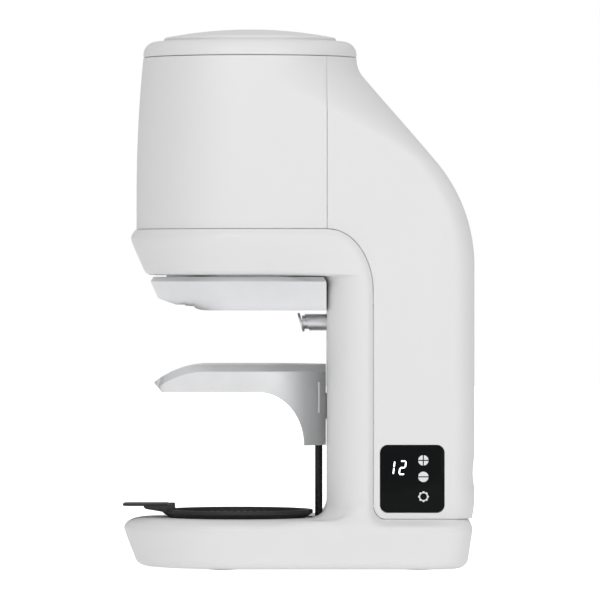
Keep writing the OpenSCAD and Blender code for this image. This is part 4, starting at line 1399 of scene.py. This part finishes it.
def dome(
    name: str, radius: float, height: float, edge: float, low: float, skirt: float, finish: Finish
) -> bpy.types.Object:
    """Draw a disc with a rounded edge and a domed top as a rule in Geometry Nodes.

    A flat grid is rolled up: x becomes the angle and y runs from the foot over the edge to the
    crown, where the height is edge * sin(t) with a shallow paraboloid on top.

    Args:
        name: The piece's name.
        radius: The disc's radius.
        height: Height of the crown above the foot.
        edge: Radius of the rounded edge.
        low: Level where the edge's rounding starts.
        skirt: Height of the straight wall below that.
        finish: Its surface.

    Returns:
        The closed disc.
    """
    piece = new_piece(name, np.zeros((1, 3)), [], finish)
    recipe = Recipe(name + "_recipe", finish)
    add = recipe.tree.add

    def calc(kind: str, a: object, b: object = 0.0) -> bpy.types.NodeSocket:
        """Add a math node and return its result."""
        return add("ShaderNodeMath", {"operation": kind}, i0=a, i1=b).outputs[0]

    r = recipe.take("Radius", "Float", radius * MM)
    e = recipe.take("Edge", "Float", edge * MM)
    h = recipe.take("Crown", "Float", (height - edge) * MM)
    grid = add("GeometryNodeMeshGrid", Size_X=1.0, Size_Y=1.0, Vertices_X=145, Vertices_Y=60)
    at = add("ShaderNodeSeparateXYZ", Vector=add("GeometryNodeInputPosition").outputs[0])
    turn = calc("MULTIPLY", calc("ADD", at.outputs[0], 0.5), 2 * math.pi)
    way = calc("ADD", at.outputs[1], 0.5)
    bend = calc("MULTIPLY", calc("MINIMUM", calc("MULTIPLY", way, 4.0), 1.0), math.pi / 2)
    inward = calc("MAXIMUM", calc("DIVIDE", calc("SUBTRACT", way, 0.25), 0.75), 0.0)
    flat = calc("SUBTRACT", r, e)
    crown_way = calc("MULTIPLY", flat, calc("SUBTRACT", 1.0, inward))
    ring = calc("ADD", crown_way, calc("MULTIPLY", e, calc("COSINE", bend)))
    share = calc("POWER", calc("DIVIDE", ring, r), 2.0)
    crown_rise = calc("MULTIPLY", h, calc("SUBTRACT", 1.0, share))
    rise = calc("ADD", calc("MULTIPLY", e, calc("SINE", bend)), crown_rise)
    x = calc("MULTIPLY", ring, calc("COSINE", turn))
    y = calc("MULTIPLY", ring, calc("SINE", turn))
    place = add("ShaderNodeCombineXYZ", X=x, Y=y, Z=rise)
    rolled = add("GeometryNodeSetPosition", Geometry=grid.outputs[0], Position=place.outputs[0])
    lifted = add("GeometryNodeTransform", Geometry=rolled.outputs[0], Translation=(0, 0, low * MM))
    recipe.bake(piece, lifted.outputs[0])
    bm = bmesh.new()
    bm.from_mesh(piece.data)
    bmesh.ops.remove_doubles(bm, verts=bm.verts, dist=0.005 * MM)
    rim = [edge for edge in bm.edges if edge.is_boundary]
    wall = bmesh.ops.extrude_edge_only(bm, edges=rim)["geom"]
    bmesh.ops.translate(bm, verts=[v for v in wall if isinstance(v, bmesh.types.BMVert)], vec=(0, 0, -skirt * MM))
    bmesh.ops.holes_fill(bm, edges=[edge for edge in bm.edges if edge.is_boundary], sides=0)
    bm.to_mesh(piece.data)
    bm.free()
    return tidy(piece)


# ---------------------------------------------------------------------------------------------
# Machined and moulded parts that keep the CAD's shape
# ---------------------------------------------------------------------------------------------


@dataclass
class Source:
    """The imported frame, as the place where the CAD's own meshes come from.

    Attributes:
    """

    frame: dict

    def body(self, node: str) -> str:
        """Name of the body that a node belongs to.

        Args:
            node: The CAD node.

        Returns:
            The body's name.
        """
        for body, nodes in self.frame["record"]["behaviour"]["bodies"].items():
            if node in nodes:
                return body
        return "stand"

    def copy(self, node: str, finish: Finish) -> bpy.types.Object:
        """Copy a node with its flat faces whole again, ready for rounding.

        Args:
            node: The CAD node.
            finish: The copy's surface.

        Returns:
            The copy.
        """
        piece = self.frame["nodes"][node].copy()
        piece.data = piece.data.copy()
        piece.name = node + "_detail"
        piece.parent = None
        bpy.context.scene.collection.objects.link(piece)
        piece.data.materials.clear()
        piece.data.materials.append(finish.build())
        bm = bmesh.new()
        bm.from_mesh(piece.data)
        bmesh.ops.remove_doubles(bm, verts=bm.verts, dist=0.004 * MM)
        bmesh.ops.dissolve_limit(bm, angle_limit=math.radians(1.0), verts=bm.verts, edges=bm.edges)
        bm.to_mesh(piece.data)
        bm.free()
        for face in piece.data.polygons:
            face.material_index = 0
        return piece

    def machined(
        self, node: str, slot: str, finish: Finish, edge: float = 0.25, angle: float = 35.0
    ) -> bpy.types.Object:
        """Replace a node by a copy with broken edges and smooth curves.

        Args:
            node: The CAD node.
            slot: The record's material slot.
            finish: The surface.
            edge: Width of the broken edges.
            angle: Edges that turn more than this, in degrees, are broken.

        Returns:
            The finished piece.
        """
        piece = self.copy(node, finish)
        if edge:
            edge_rounding(piece, edge, 2, angle)
        return ready(even_normals(tidy(piece, 32, 0.002)), self.body(node), slot, node)


@dataclass
class Crown:
    """The cap and the domed disc on it.

    Attributes:
        shape: The shells' common lines.
        cap_h: Height of the cap.
        disc_r: Radius of the disc.
        disc_h: Height of the disc above the cap.
        shoulder: Radius of the cap's shoulder.
    """

    shape: BodyShape
    cap_h: float = 8.8
    disc_r: float = 47.3
    disc_h: float = 6.7
    shoulder: float = 7.2

    def build(self) -> None:
        """Build both pieces."""
        low, r = self.shape.cap_z, self.shape.head_r_top
        top = low + self.cap_h
        inside = [(r - 4, top - 3.2), (r - 4, low + 0.2), (r - 0.5, low + 0.1)]
        shoulder = self.shoulder
        outside = [(r, low + 0.6)] + arc(r - shoulder, top - shoulder, shoulder, shoulder, 0, 84, 16)
        crown = [(self.disc_r + 0.8, top), (self.disc_r + 0.45, top - 0.25), (self.disc_r + 0.4, top - 1.0)]
        profile = [(POLE, top - 3.2)] + inside + outside + crown + [(POLE, top - 1.0)]
        ready(lathe("cap", profile, WHITE_ABS, steps=160), "stand", "white_shell", "top_cap")
        disc = dome("disc", self.disc_r, self.disc_h - 0.9, 1.1, top + 0.9, 1.8, WHITE_ABS)
        ready(disc, "stand", "white_shell", "top_disc")


class Segment(Enum):
    """Bars of a seven-segment digit: where each starts and ends on a cell one wide and two high."""

    TOP = ((0, 2), (1, 2))
    HIGH_LEFT = ((0, 1), (0, 2))
    HIGH_RIGHT = ((1, 1), (1, 2))
    MIDDLE = ((0, 1), (1, 1))
    LOW_LEFT = ((0, 0), (0, 1))
    LOW_RIGHT = ((1, 0), (1, 1))
    BOTTOM = ((0, 0), (1, 0))


@dataclass
class DisplayPanel:
    """The black window with its lit digits and printed touch marks.

    Attributes:
        width: Width of the window along y.
        height: Height of the window.
        corner: Its corner radius.
        middle_y: Middle of the window along y.
        middle_z: Middle of the window in height.
        face_x: Plane of its front.
        depth: Thickness of the window.
    """

    width: float = 34.6
    height: float = 36.4
    corner: float = 4.1
    middle_y: float = 88.2
    middle_z: float = 49.7
    face_x: float = 62.3
    depth: float = 2.2

    def outline(self, grow: float) -> list[tuple[float, float]]:
        """Rounded outline of the window in y and z.

        Args:
            grow: How far it stands outside the window's own edge.

        Returns:
            The outline's points.
        """
        w, h, r = self.width / 2 + grow, self.height / 2 + grow, self.corner + grow
        points: list[tuple[float, float]] = []
        for cy, cz, start in ((w - r, h - r, 0), (r - w, h - r, 90), (r - w, r - h, 180), (w - r, r - h, 270)):
            points += arc(self.middle_y + cy, self.middle_z + cz, r, r, start, start + 90, 10)
        return points

    def pocket(self) -> bpy.types.Object:
        """The opening that the rear cover has for the window."""
        return prism("pocket", self.outline(0.25), self.face_x - self.depth + 0.4, 80, WHITE_ABS, "x")

    def mark(self, name: str, outline: Sequence[tuple[float, float]], finish: Finish) -> bpy.types.Object:
        """One flat mark just on the window's face."""
        return prism(name, outline, self.face_x - 0.05, self.face_x + 0.04, finish, "x")

    def digit(self, name: str, low: tuple[float, float], size: tuple[float, float], bars: Sequence[Segment]) -> None:
        """Draw one lit digit.

        Args:
            name: The piece's name.
            low: Lower left corner of the digit.
            size: Distance between its upright bars, and its height.
            bars: The segments that are lit.
        """
        lean, half = 0.12, 0.38
        outlines = []
        for bar in bars:
            (ay, az), (by, bz) = bar.value
            a = np.array([low[0] + ay * size[0], low[1] + az * size[1] / 2])
            b = np.array([low[0] + by * size[0], low[1] + bz * size[1] / 2])
            along = (b - a) / np.linalg.norm(b - a)
            side = np.array([-along[1], along[0]]) * half
            a, b = a + along * 0.12, b - along * 0.12
            tip = along * half
            shape = [a, a + tip + side, b - tip + side, b, b - tip - side, a + tip - side]
            outlines.append([(y + lean * (z - low[1]), z) for y, z in shape])
        pieces = [self.mark(f"{name}_{i}", outline, LIT) for i, outline in enumerate(outlines)]
        ready(joined(name, pieces), "stand", "glass_black")

    def build(self, source: Source) -> None:
        """Build the window, its marks and the board behind it.

        Args:
            source: The CAD that the board's box comes from.
        """
        window = prism("window", self.outline(0.0), self.face_x - self.depth, self.face_x, BLACK_ACRYLIC, "x")
        edge_rounding(window, 0.35, 3, 50)
        ready(tidy(window), "stand", "glass_black", "display_window")
        self.digit("digit_one", (75.0, 52.2), (2.9, 7.1), (Segment.HIGH_RIGHT, Segment.LOW_RIGHT))
        two = (Segment.TOP, Segment.HIGH_RIGHT, Segment.MIDDLE, Segment.LOW_LEFT, Segment.BOTTOM)
        self.digit("digit_two", (81.1, 52.2), (2.9, 7.1), two)
        for name, cz, upright in (("raise_mark", 59.7, True), ("lower_mark", 50.8, False)):
            disc = self.mark(name, arc(94.2, cz, 2.8, 2.8, 0, 350, 35), INK)
            bars = [(3.2, 0.3)] + ([(0.3, 3.2)] if upright else [])
            tools = [
                prism("bar", rectangle((94.2 - a, cz - b), (94.2 + a, cz + b)), 60, 70, INK, "x")
                for a, b in bars
            ]
            ready(tidy(cut(disc, tools)), "stand", "glass_black")
        teeth = []
        for k in range(8):
            for da, r in ((-15, 2.45), (-9, 2.9), (9, 2.9), (15, 2.45)):
                a = math.radians(45 * k + da)
                teeth.append((94.3 + r * math.cos(a), 40.1 + r * math.sin(a)))
        ring = self.mark("settings_mark", teeth, INK)
        cut(ring, [prism("hole", arc(94.3, 40.1, 1.85, 1.85, 0, 350, 35), 60, 70, INK, "x")])
        ready(tidy(ring), "stand", "glass_black")
        source.machined("display_board", "board", SOLDER_MASK, 0.0)


def joined(name: str, pieces: Sequence[bpy.types.Object]) -> bpy.types.Object:
    """Join pieces of one finish into one object.

    Args:
        name: The new object's name.
        pieces: The objects, which are removed.

    Returns:
        The joined object.
    """
    bm = bmesh.new()
    for piece in pieces:
        bm.from_mesh(piece.data)
    result = pieces[0].copy()
    result.data = pieces[0].data.copy()
    result.name = name
    bm.to_mesh(result.data)
    bm.free()
    bpy.context.scene.collection.objects.link(result)
    for piece in pieces:
        bpy.data.objects.remove(piece)
    return result


@dataclass
class Metal:
    """Every CAD node whose shape is kept, with its edges broken and its real surface.

    Attributes:
        source: Where the CAD's meshes come from.
        plan: Node, material slot, finish and width of the broken edges.
        plate_limit: The base plate's rear edge lies behind this place.
        plate_draw: How far that edge is drawn in, under the rounded foot of the shell.
    """

    source: Source
    plan: Sequence[tuple[str, str, Finish, float]] = (
        ("clamp_block", "alu_satin", SATIN_ALU, 0.5),
        ("fork_slider", "alu_frame", SATIN_ALU, 0.3),
        ("fork_screws", "steel", ZINC_STEEL, 0.0),
        ("fork_rail", "steel", ZINC_STEEL, 0.2),
        ("rail_screws", "steel", ZINC_STEEL, 0.15),
        ("chassis", "alu_frame", BLASTED_ALU, 0.4),
        ("clamp_screws", "steel", ZINC_STEEL, 0.2),
        ("head_pillars", "alu_frame", SATIN_ALU, 0.3),
        ("guide_rods", "steel", GROUND_STEEL, 0.4),
        ("motor_plate", "alu_frame", SATIN_ALU, 0.3),
        ("plate_screws", "steel", ZINC_STEEL, 0.2),
        ("drive_motor", "steel", ZINC_STEEL, 0.4),
        ("motor_encoder", "plastic_black", BLACK_ABS, 0.4),
        ("motor_screws", "steel", ZINC_STEEL, 0.15),
        ("screw_bearing", "steel", GROUND_STEEL, 0.3),
        ("limit_switches", "plastic_black", BLACK_ABS, 0.2),
        ("control_board", "board", SOLDER_MASK, 0.0),
        ("screw_gear", "nylon", NYLON, 0.15),
        ("pinion", "brass", BRASS, 0.1),
        ("ram_carriage", "alu_frame", SATIN_ALU, 0.5),
        ("ram_nut", "brass", BRASS, 0.3),
        ("guide_bushes", "brass", BRASS, 0.2),
        ("ram_tube", "alu_frame", SATIN_ALU, 0.3),
        ("load_cell", "steel", GROUND_STEEL, 0.3),
        ("tamper_stem", "steel", GROUND_STEEL, 0.3),
        ("tamper_foot", "steel", GROUND_STEEL, 0.15),
        ("stem_screw", "steel", ZINC_STEEL, 0.2),
        ("spindle_bush", "brass", BRASS, 0.3),
        ("sensor_switch", "plastic_black", BLACK_ABS, 0.3),
        ("switch_housing", "plastic_black", BLACK_ABS, 0.2),
        ("rocker", "plastic_black", BLACK_ABS, 0.4),
        ("power_inlet", "plastic_black", BLACK_ABS, 0.3),
        ("inlet_bezel", "white_shell", WHITE_ABS, 0.4),
        ("base_plate", "steel", ZINC_STEEL, 0.4),
        ("sensor_spring", "steel", GROUND_STEEL, 0.0),
        ("rubber_feet", "rubber_black", RUBBER, 0.2),
        ("base_screws", "steel", ZINC_STEEL, 0.15),
    )
    plate_limit: float = 110.0
    plate_draw: float = 4.6

    def build(self) -> None:
        """Replace every node of the plan."""
        for node, slot, finish, edge in self.plan:
            piece = self.source.machined(node, slot, finish, edge)
            if node == "base_plate":
                for vertex in piece.data.vertices:
                    if vertex.co.y > self.plate_limit * MM:
                        vertex.co.y -= self.plate_draw * MM


@dataclass
class ForkUnit:
    """The fork that carries the portafilter, with the chamfer along its arms and its index line.

    Attributes:
        chamfer: Width of the chamfer along the top's outer edge.
        top: Level of the fork's top.
        outer: Half-width of the fork.
        line_y: Place of the index line on the block's sides.
        line_low: Foot of the line.
        line_high: Its top.
        web: Half-width of the block.
    """

    chamfer: float = 3.6
    top: float = 111.0
    outer: float = 46.0
    line_y: float = 37.7
    line_low: float = 84.8
    line_high: float = 101.5
    web: float = 26.3

    def build(self, source: Source) -> None:
        """Build the fork from the CAD's solid.

        Args:
            source: Where the solid comes from.
        """
        piece = source.copy("fork", BLASTED_ALU)
        bm = bmesh.new()
        bm.from_mesh(piece.data)
        edges = []
        for edge in bm.edges:
            if len(edge.link_faces) != 2:
                continue
            tilt = sorted(face.normal.z for face in edge.link_faces)
            mid = (edge.verts[0].co + edge.verts[1].co) / (2 * MM)
            off_middle = abs(mid.x) if mid.y < 0 else math.hypot(mid.x, mid.y)
            outside = off_middle > self.outer - 1.5
            if abs(tilt[0]) < 0.1 and tilt[1] > 0.5 and mid.z > self.top - 8.5 and outside:
                edges.append(edge)
        bmesh.ops.bevel(bm, geom=edges, offset=self.chamfer * MM, segments=1, affect="EDGES", clamp_overlap=False)
        bm.to_mesh(piece.data)
        bm.free()
        lines = []
        for side in (-1, 1):
            x = side * self.web
            flat = rectangle((x - 0.7, self.line_y - 0.45), (x + 0.7, self.line_y + 0.45))
            lines.append(prism("line", flat, self.line_low, self.line_high, BLASTED_ALU))
        cut(piece, lines)
        edge_rounding(piece, 0.35, 2, 25)
        ready(even_normals(tidy(piece, 30, 0.002)), "fork_unit", "alu_blasted", "fork")


@dataclass
class MatUnit:
    """The loose silicone mat: a dish with a pull tab and studs on its floor.

    Attributes:
        middle_y: Middle of the dish.
        radius: Radius of its rim.
        low: Level of its underside.
        high: Level of the rim's top.
        rim: Width of the rim.
        lip: Height of the rim's straight edge.
        floor: Thickness of the floor.
        taper: How far the underside draws in.
        pitch: Distance between studs.
        tab: Half-width of the tab.
        tab_reach: Front of the tab.
    """

    middle_y: float = -6.7
    radius: float = 41.3
    low: float = 26.3
    high: float = 31.2
    rim: float = 3.0
    lip: float = 2.0
    floor: float = 2.1
    taper: float = 4.9
    pitch: float = 4.2
    tab: float = 14.8
    tab_reach: float = -69.8

    def tab_outline(self, front: float, back: float, half: float, corner: float) -> list[tuple[float, float]]:
        """Outline of a tab with rounded front corners.

        Args:
            front: Its front.
            back: Its back.
            half: Half of its width.
            corner: Radius of the front corners.
        """
        return (
            [(half, back), (-half, back)]
            + arc(corner - half, front + corner, corner, corner, 180, 270, 8)
            + arc(half - corner, front + corner, corner, corner, 270, 360, 8)
        )

    def build(self) -> None:
        """Build the dish with its tab, and the studs."""
        r = self.radius
        outside = [
            (r - self.taper, self.low),
            (r - self.taper + 0.6, self.low + 0.15),
            (r - 0.4, self.high - self.lip - 0.15),
        ]
        lip = [(r, self.high - self.lip + 0.1)] + arc(r - 0.5, self.high - 0.5, 0.5, 0.5, 0, 90, 4)
        inside = arc(r - self.rim + 0.5, self.high - 0.5, 0.5, 0.5, 90, 180, 4) + [
            (r - self.rim - 0.4, self.low + self.floor + 0.6),
            (r - self.rim - 1.0, self.low + self.floor),
        ]
        profile = [(POLE, self.low)] + outside + lip + inside + [(POLE, self.low + self.floor)]
        dish = lathe("dish", profile, SILICONE, (0, self.middle_y, 0), steps=144)
        block = [
            (-58.2, 34.4), (-34.4, 34.4), (-31.6, 33.2), (-31.6, 29.4),
            (-44.5, 29.4), (-50.5, 30.6), (-56.8, 31.6), (-58.2, 32.6),
        ]
        post = prism("post", block, -self.tab, self.tab, SILICONE, "x")
        edge_rounding(post, 0.5, 2, 25)
        plate = prism("plate", self.tab_outline(self.tab_reach, -45.0, self.tab, 5.0), 33.3, 34.6, SILICONE)
        edge_rounding(plate, 0.4, 2)
        inside = [(POLE, 28.4), (r - self.rim - 0.9, 28.4), (r - self.rim, 40), (POLE, 40)]
        hollow = lathe("hollow", inside, SILICONE, (0, self.middle_y, 0))
        cut(post, [hollow])
        ready(tidy(joined("mat_dish", [dish, post, plate]), 30, 0.001), "mat_unit", "rubber_black", "mat")
        spots = []
        row_h = self.pitch * math.sqrt(3) / 2
        for row in range(-9, 10):
            for col in range(-9, 10):
                x, y = (col + 0.5 * (row % 2)) * self.pitch, row * row_h
                if math.hypot(x, y) < r - self.rim - 3.4:
                    spots.append((x, y + self.middle_y, self.low + self.floor - 0.1))
        stud = lathe("stud", [(POLE, 0), (1.25, 0), (1.1, 0.6), (0.8, 0.85), (POLE, 0.9)], SILICONE, steps=16)
        studs = scatter("mat_studs", np.array(spots), stud, SILICONE)
        ready(tidy(studs, 40, 0.001), "mat_unit", "rubber_black")


@dataclass
class SpindleUnit:
    """The height spindle with its thread, and the ribbed knob under the base.

    Attributes:
        y: The spindle's place.
        radius: Radius over the thread.
        low: Foot of the spindle.
        high: Its top, inside the fork.
        knob_low: Underside of the knob.
        knob_h: Height of the knob.
        knob_r: Radius of the knob.
        ribs: Number of ribs.
        pitch: Pitch of the thread.
    """

    y: float = 37.8
    radius: float = 2.2
    low: float = 2.8
    high: float = 93.0
    knob_low: float = 1.8
    knob_h: float = 6.0
    knob_r: float = 11.0
    ribs: int = 24
    pitch: float = 1.0

    def build(self) -> None:
        """Build the rod, its thread and the knob."""
        rod = lathe("rod", [(POLE, self.low), (self.radius - 0.3, self.low), (self.radius - 0.15, self.low + 0.3),
                            (self.radius - 0.15, self.high - 0.5), (self.radius - 0.9, self.high), (POLE, self.high)],
                    BLACK_STEEL, (0, self.y, 0), steps=40)
        ready(rod, "adjuster", "steel_dark", "spindle")
        start, end = 12.0, self.high - 1
        thread = coil("spindle_thread", self.radius - 0.2, 0.18, start, end, (end - start) / self.pitch, BLACK_STEEL, 4)
        for vertex in thread.data.vertices:
            vertex.co.y += self.y * MM
        ready(thread, "adjuster", "steel_dark")
        r, low, top = self.knob_r - 1.0, self.knob_low, self.knob_low + self.knob_h
        profile = [
            (1.9, low + 2.0), (1.9, low), (r - 0.8, low), (r, low + 0.8),
            (r, top - 0.8), (r - 0.8, top), (2.5, top), (1.9, top - 0.5),
        ]
        knob = lathe("knob", [(POLE, low + 2.0)] + profile + [(POLE, top - 0.5)], BLACK_ABS, (0, self.y, 0))
        ready(knob, "adjuster", "plastic_black", "spindle_knob")
        rib_line = [(POLE, 0.5), (0.5, 0.6), (0.75, 1.0), (0.75, self.knob_h - 1.0)]
        rib_line += [(0.5, self.knob_h - 0.6), (POLE, self.knob_h - 0.5)]
        rib = lathe("rib", rib_line,
                    BLACK_ABS, steps=12)
        turns = np.linspace(0, 2 * math.pi, self.ribs, endpoint=False)
        spots = np.stack([r * np.cos(turns), self.y + r * np.sin(turns), np.full(self.ribs, low)], 1)
        ready(tidy(scatter("knob_ribs", spots, rib, BLACK_ABS), 40, 0.001), "adjuster", "plastic_black")


@dataclass
class SensorUnit:
    """The portafilter sensor: a satin barrel with a dished, tilted button in front.

    Attributes:
        y: Middle of the barrel's tilted front.
        z: Level of its axis.
        radius: Radius of the barrel.
        tilt: Tilt of the front and the button, in degrees.
        back: Where the barrel ends inside the column.
        out: How far the button stands in front.
    """

    y: float = 31.3
    z: float = 134.0
    radius: float = 4.6
    tilt: float = 16.0
    back: float = 55.0
    out: float = 3.0

    def lean(self, piece: bpy.types.Object, y: float) -> bpy.types.Object:
        """Tilt a piece drawn round the y axis so that its top comes forward.

        Args:
            piece: The piece, drawn at the origin.
            y: Where its middle goes.

        Returns:
            The same piece.
        """
        a = math.radians(self.tilt)
        for vertex in piece.data.vertices:
            py, pz = vertex.co.y, vertex.co.z
            vertex.co.y = py * math.cos(a) - pz * math.sin(a) + y * MM
            vertex.co.z = py * math.sin(a) + pz * math.cos(a) + self.z * MM
        return piece

    def build(self) -> None:
        """Build the barrel and the button."""
        r = self.radius
        profile = [(4.1, -3.0), (r - 0.2, -3.0), (r, -2.8), (r, self.back - self.y), (2.8, self.back - self.y), (2.8, 5.2), (4.1, 5.0)]
        barrel = lathe("barrel", profile + [(4.1, -3.0)], SATIN_ALU, (0, self.y, self.z), "y")
        slab = self.lean(prism("slab", [(-9, -9), (9, -9), (9, 9), (-9, 9)], -9, 0, SATIN_ALU, "y"), self.y)
        cut(barrel, [slab])
        edge_rounding(barrel, 0.15, 1, 50)
        ready(even_normals(tidy(barrel)), "stand", "alu_satin", "sensor_bush")
        face = [
            (POLE, 0.35), (2.4, 0.15), (4.2, -0.35), (4.8, -0.85), (5.1, -0.9),
            (5.35, -0.7), (5.4, -0.3), (5.3, 0.3), (5.0, 0.5),
        ]
        dish = self.lean(lathe("dish", face + [(POLE, 0.5)], SATIN_ALU, along="y"), self.y - self.out)
        rod_line = [(POLE, 0.3), (3.85, 0.3), (3.85, 4.4), (3.6, 4.7)]
        rod_line += [(2.4, 4.7), (2.4, 25.0), (2.0, 25.4), (POLE, 25.4)]
        rod = lathe("rod", rod_line, GROUND_STEEL,
                    (0, self.y - self.out, self.z), "y", 48)
        ready(tidy(joined("sensor_plunger", [dish, rod])), "sensor", "alu_satin", "sensor_button")


@dataclass
class Threads:
    """The lead screw's thread inside the head, wound by rule.

    Attributes:
        screw_r: Radius of the lead screw's core ridge; not used.
        screw_low: Foot of the lead screw.
        screw_high: Where its thread ends.
        pitch: Pitch of the lead screw.
    """

    screw_r: float = 5.45
    screw_low: float = 201.1
    screw_high: float = 251.0
    pitch: float = 4.0

    def build(self) -> None:
        """Build the lead screw's core, its thread and its gear seat."""
        low, top = self.screw_low, 269.5
        profile = [(POLE, low), (4.4, low), (4.9, low + 0.6), (4.9, self.screw_high),
                   (5.98, self.screw_high + 1.5), (5.98, top - 0.4),
                   (5.6, top), (POLE, top)]
        ready(lathe("lead_screw_core", profile, GROUND_STEEL, steps=64), "screw", "steel", "lead_screw")
        turns = (self.screw_high - low - 2) / self.pitch
        thread = coil("lead_screw_thread", 5.1, 0.88, low + 1.2, self.screw_high - 0.8, turns, GROUND_STEEL, 6)
        ready(thread, "screw", "steel")


@dataclass
class Studio:
    """Camera, lights, world and floor.

    Attributes:
        distance: From the tamping axis to the camera, in metres.
        eye_z: Height of the camera, in metres.
        aim_y: Middle of the view along the machine, in metres.
        aim_z: Middle of the view in height, in metres.
        lens: Focal length in millimetres, on a sensor 36 mm wide.
    """

    distance: float = 3.7
    eye_z: float = 0.160
    aim_y: float = 0.0275
    aim_z: float = 0.1462
    lens: float = 403.6

    def light(self, name: str, place: tuple, aim: tuple, size: float, power: float) -> None:
        """Add one soft square light.

        Args:
            name: The light's name.
            place: Where it stands, in metres.
            aim: The point that it faces.
            size: Its side, in metres.
            power: Its power, in watts.
        """
        lamp = bpy.data.lights.new(name, "AREA")
        lamp.shape = "SQUARE"
        lamp.size = size
        lamp.energy = power
        obj = bpy.data.objects.new(name, lamp)
        obj.location = place
        obj.rotation_euler = (Vector(aim) - Vector(place)).to_track_quat("-Z", "Y").to_euler()
        bpy.context.scene.collection.objects.link(obj)

    def build(self) -> None:
        """Set up the studio."""
        scene = bpy.context.scene
        scene.view_settings.view_transform = "Standard"
        camera = bpy.data.cameras.new("camera")
        camera.lens = self.lens
        camera.sensor_width = 36.0
        camera.clip_end = 50.0
        width = self.distance * camera.sensor_width / camera.lens
        camera.shift_y = (self.aim_z - self.eye_z) / width
        obj = bpy.data.objects.new("camera", camera)
        obj.location = (self.distance, self.aim_y, self.eye_z)
        obj.rotation_euler = (math.pi / 2, 0, math.pi / 2)
        scene.collection.objects.link(obj)
        scene.camera = obj
        world = bpy.data.worlds.new("studio")
        scene.world = world
        world.use_nodes = True
        tree = Tree(world.node_tree)
        sky = world.node_tree.nodes["Background"]
        seen = tree.add("ShaderNodeLightPath").outputs["Is Camera Ray"]
        level = tree.add("ShaderNodeMapRange", Value=seen, To_Min=0.61, To_Max=1.0)
        world.node_tree.links.new(level.outputs[0], sky.inputs["Strength"])
        sky.inputs["Color"].default_value = (1, 1, 1, 1)
        self.light("key", (2.6, -0.9, 1.6), (0, 0.03, 0.15), 1.6, 19)
        self.light("fill", (2.6, 1.5, 1.0), (0, 0.03, 0.15), 1.6, 12)
        for name, y in (("flag_left", -1.7), ("flag_right", 1.9)):
            corners = np.array([(-0.2, y, 0.01), (1.3, y, 0.01), (1.3, y, 1.3), (-0.2, y, 1.3)]) / MM
            flag = new_piece(name, corners, [(0, 1, 2, 3)], FLAG_CLOTH)
            flag.visible_camera = False
        self.light("top", (0.3, 0.0, 2.2), (0, 0.03, 0.15), 1.6, 6)
        size = 6.0
        floor = new_piece(
            "studio_floor",
            np.array([(-size, -size, -8e-5), (size, -size, -8e-5), (size, size, -8e-5), (-size, size, -8e-5)]) / MM,
            [(0, 1, 2, 3)],
            FLOOR_PAINT,
        )
        paint = Tree(floor.data.materials[0].node_tree)
        shader = paint.tree.nodes["Principled BSDF"]
        seen = paint.add("ShaderNodeLightPath").outputs["Is Camera Ray"]
        level = paint.add("ShaderNodeMapRange", Value=seen, To_Min=0.33, To_Max=1.0)
        paint.tree.links.new(level.outputs[0], shader.inputs["Emission Strength"])
        shader.inputs["Emission Color"].default_value = (1, 1, 1, 1)


def main() -> None:
    """Build the scene and report its pieces."""
    logging.basicConfig(level=logging.INFO, format="%(message)s")
    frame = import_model()
    source = Source(frame)
    shape = BodyShape()
    display = DisplayPanel()
    CFrame(shape).build()
    covers = Covers(shape)
    covers.front()
    covers.rear(display.pocket())
    Crown(shape).build()
    display.build(source)
    ForkUnit().build(source)
    MatUnit().build()
    SpindleUnit().build()
    SensorUnit().build()
    Threads().build()
    Metal(source).build()
    Studio().build()


if __name__ == "__main__":
    main()
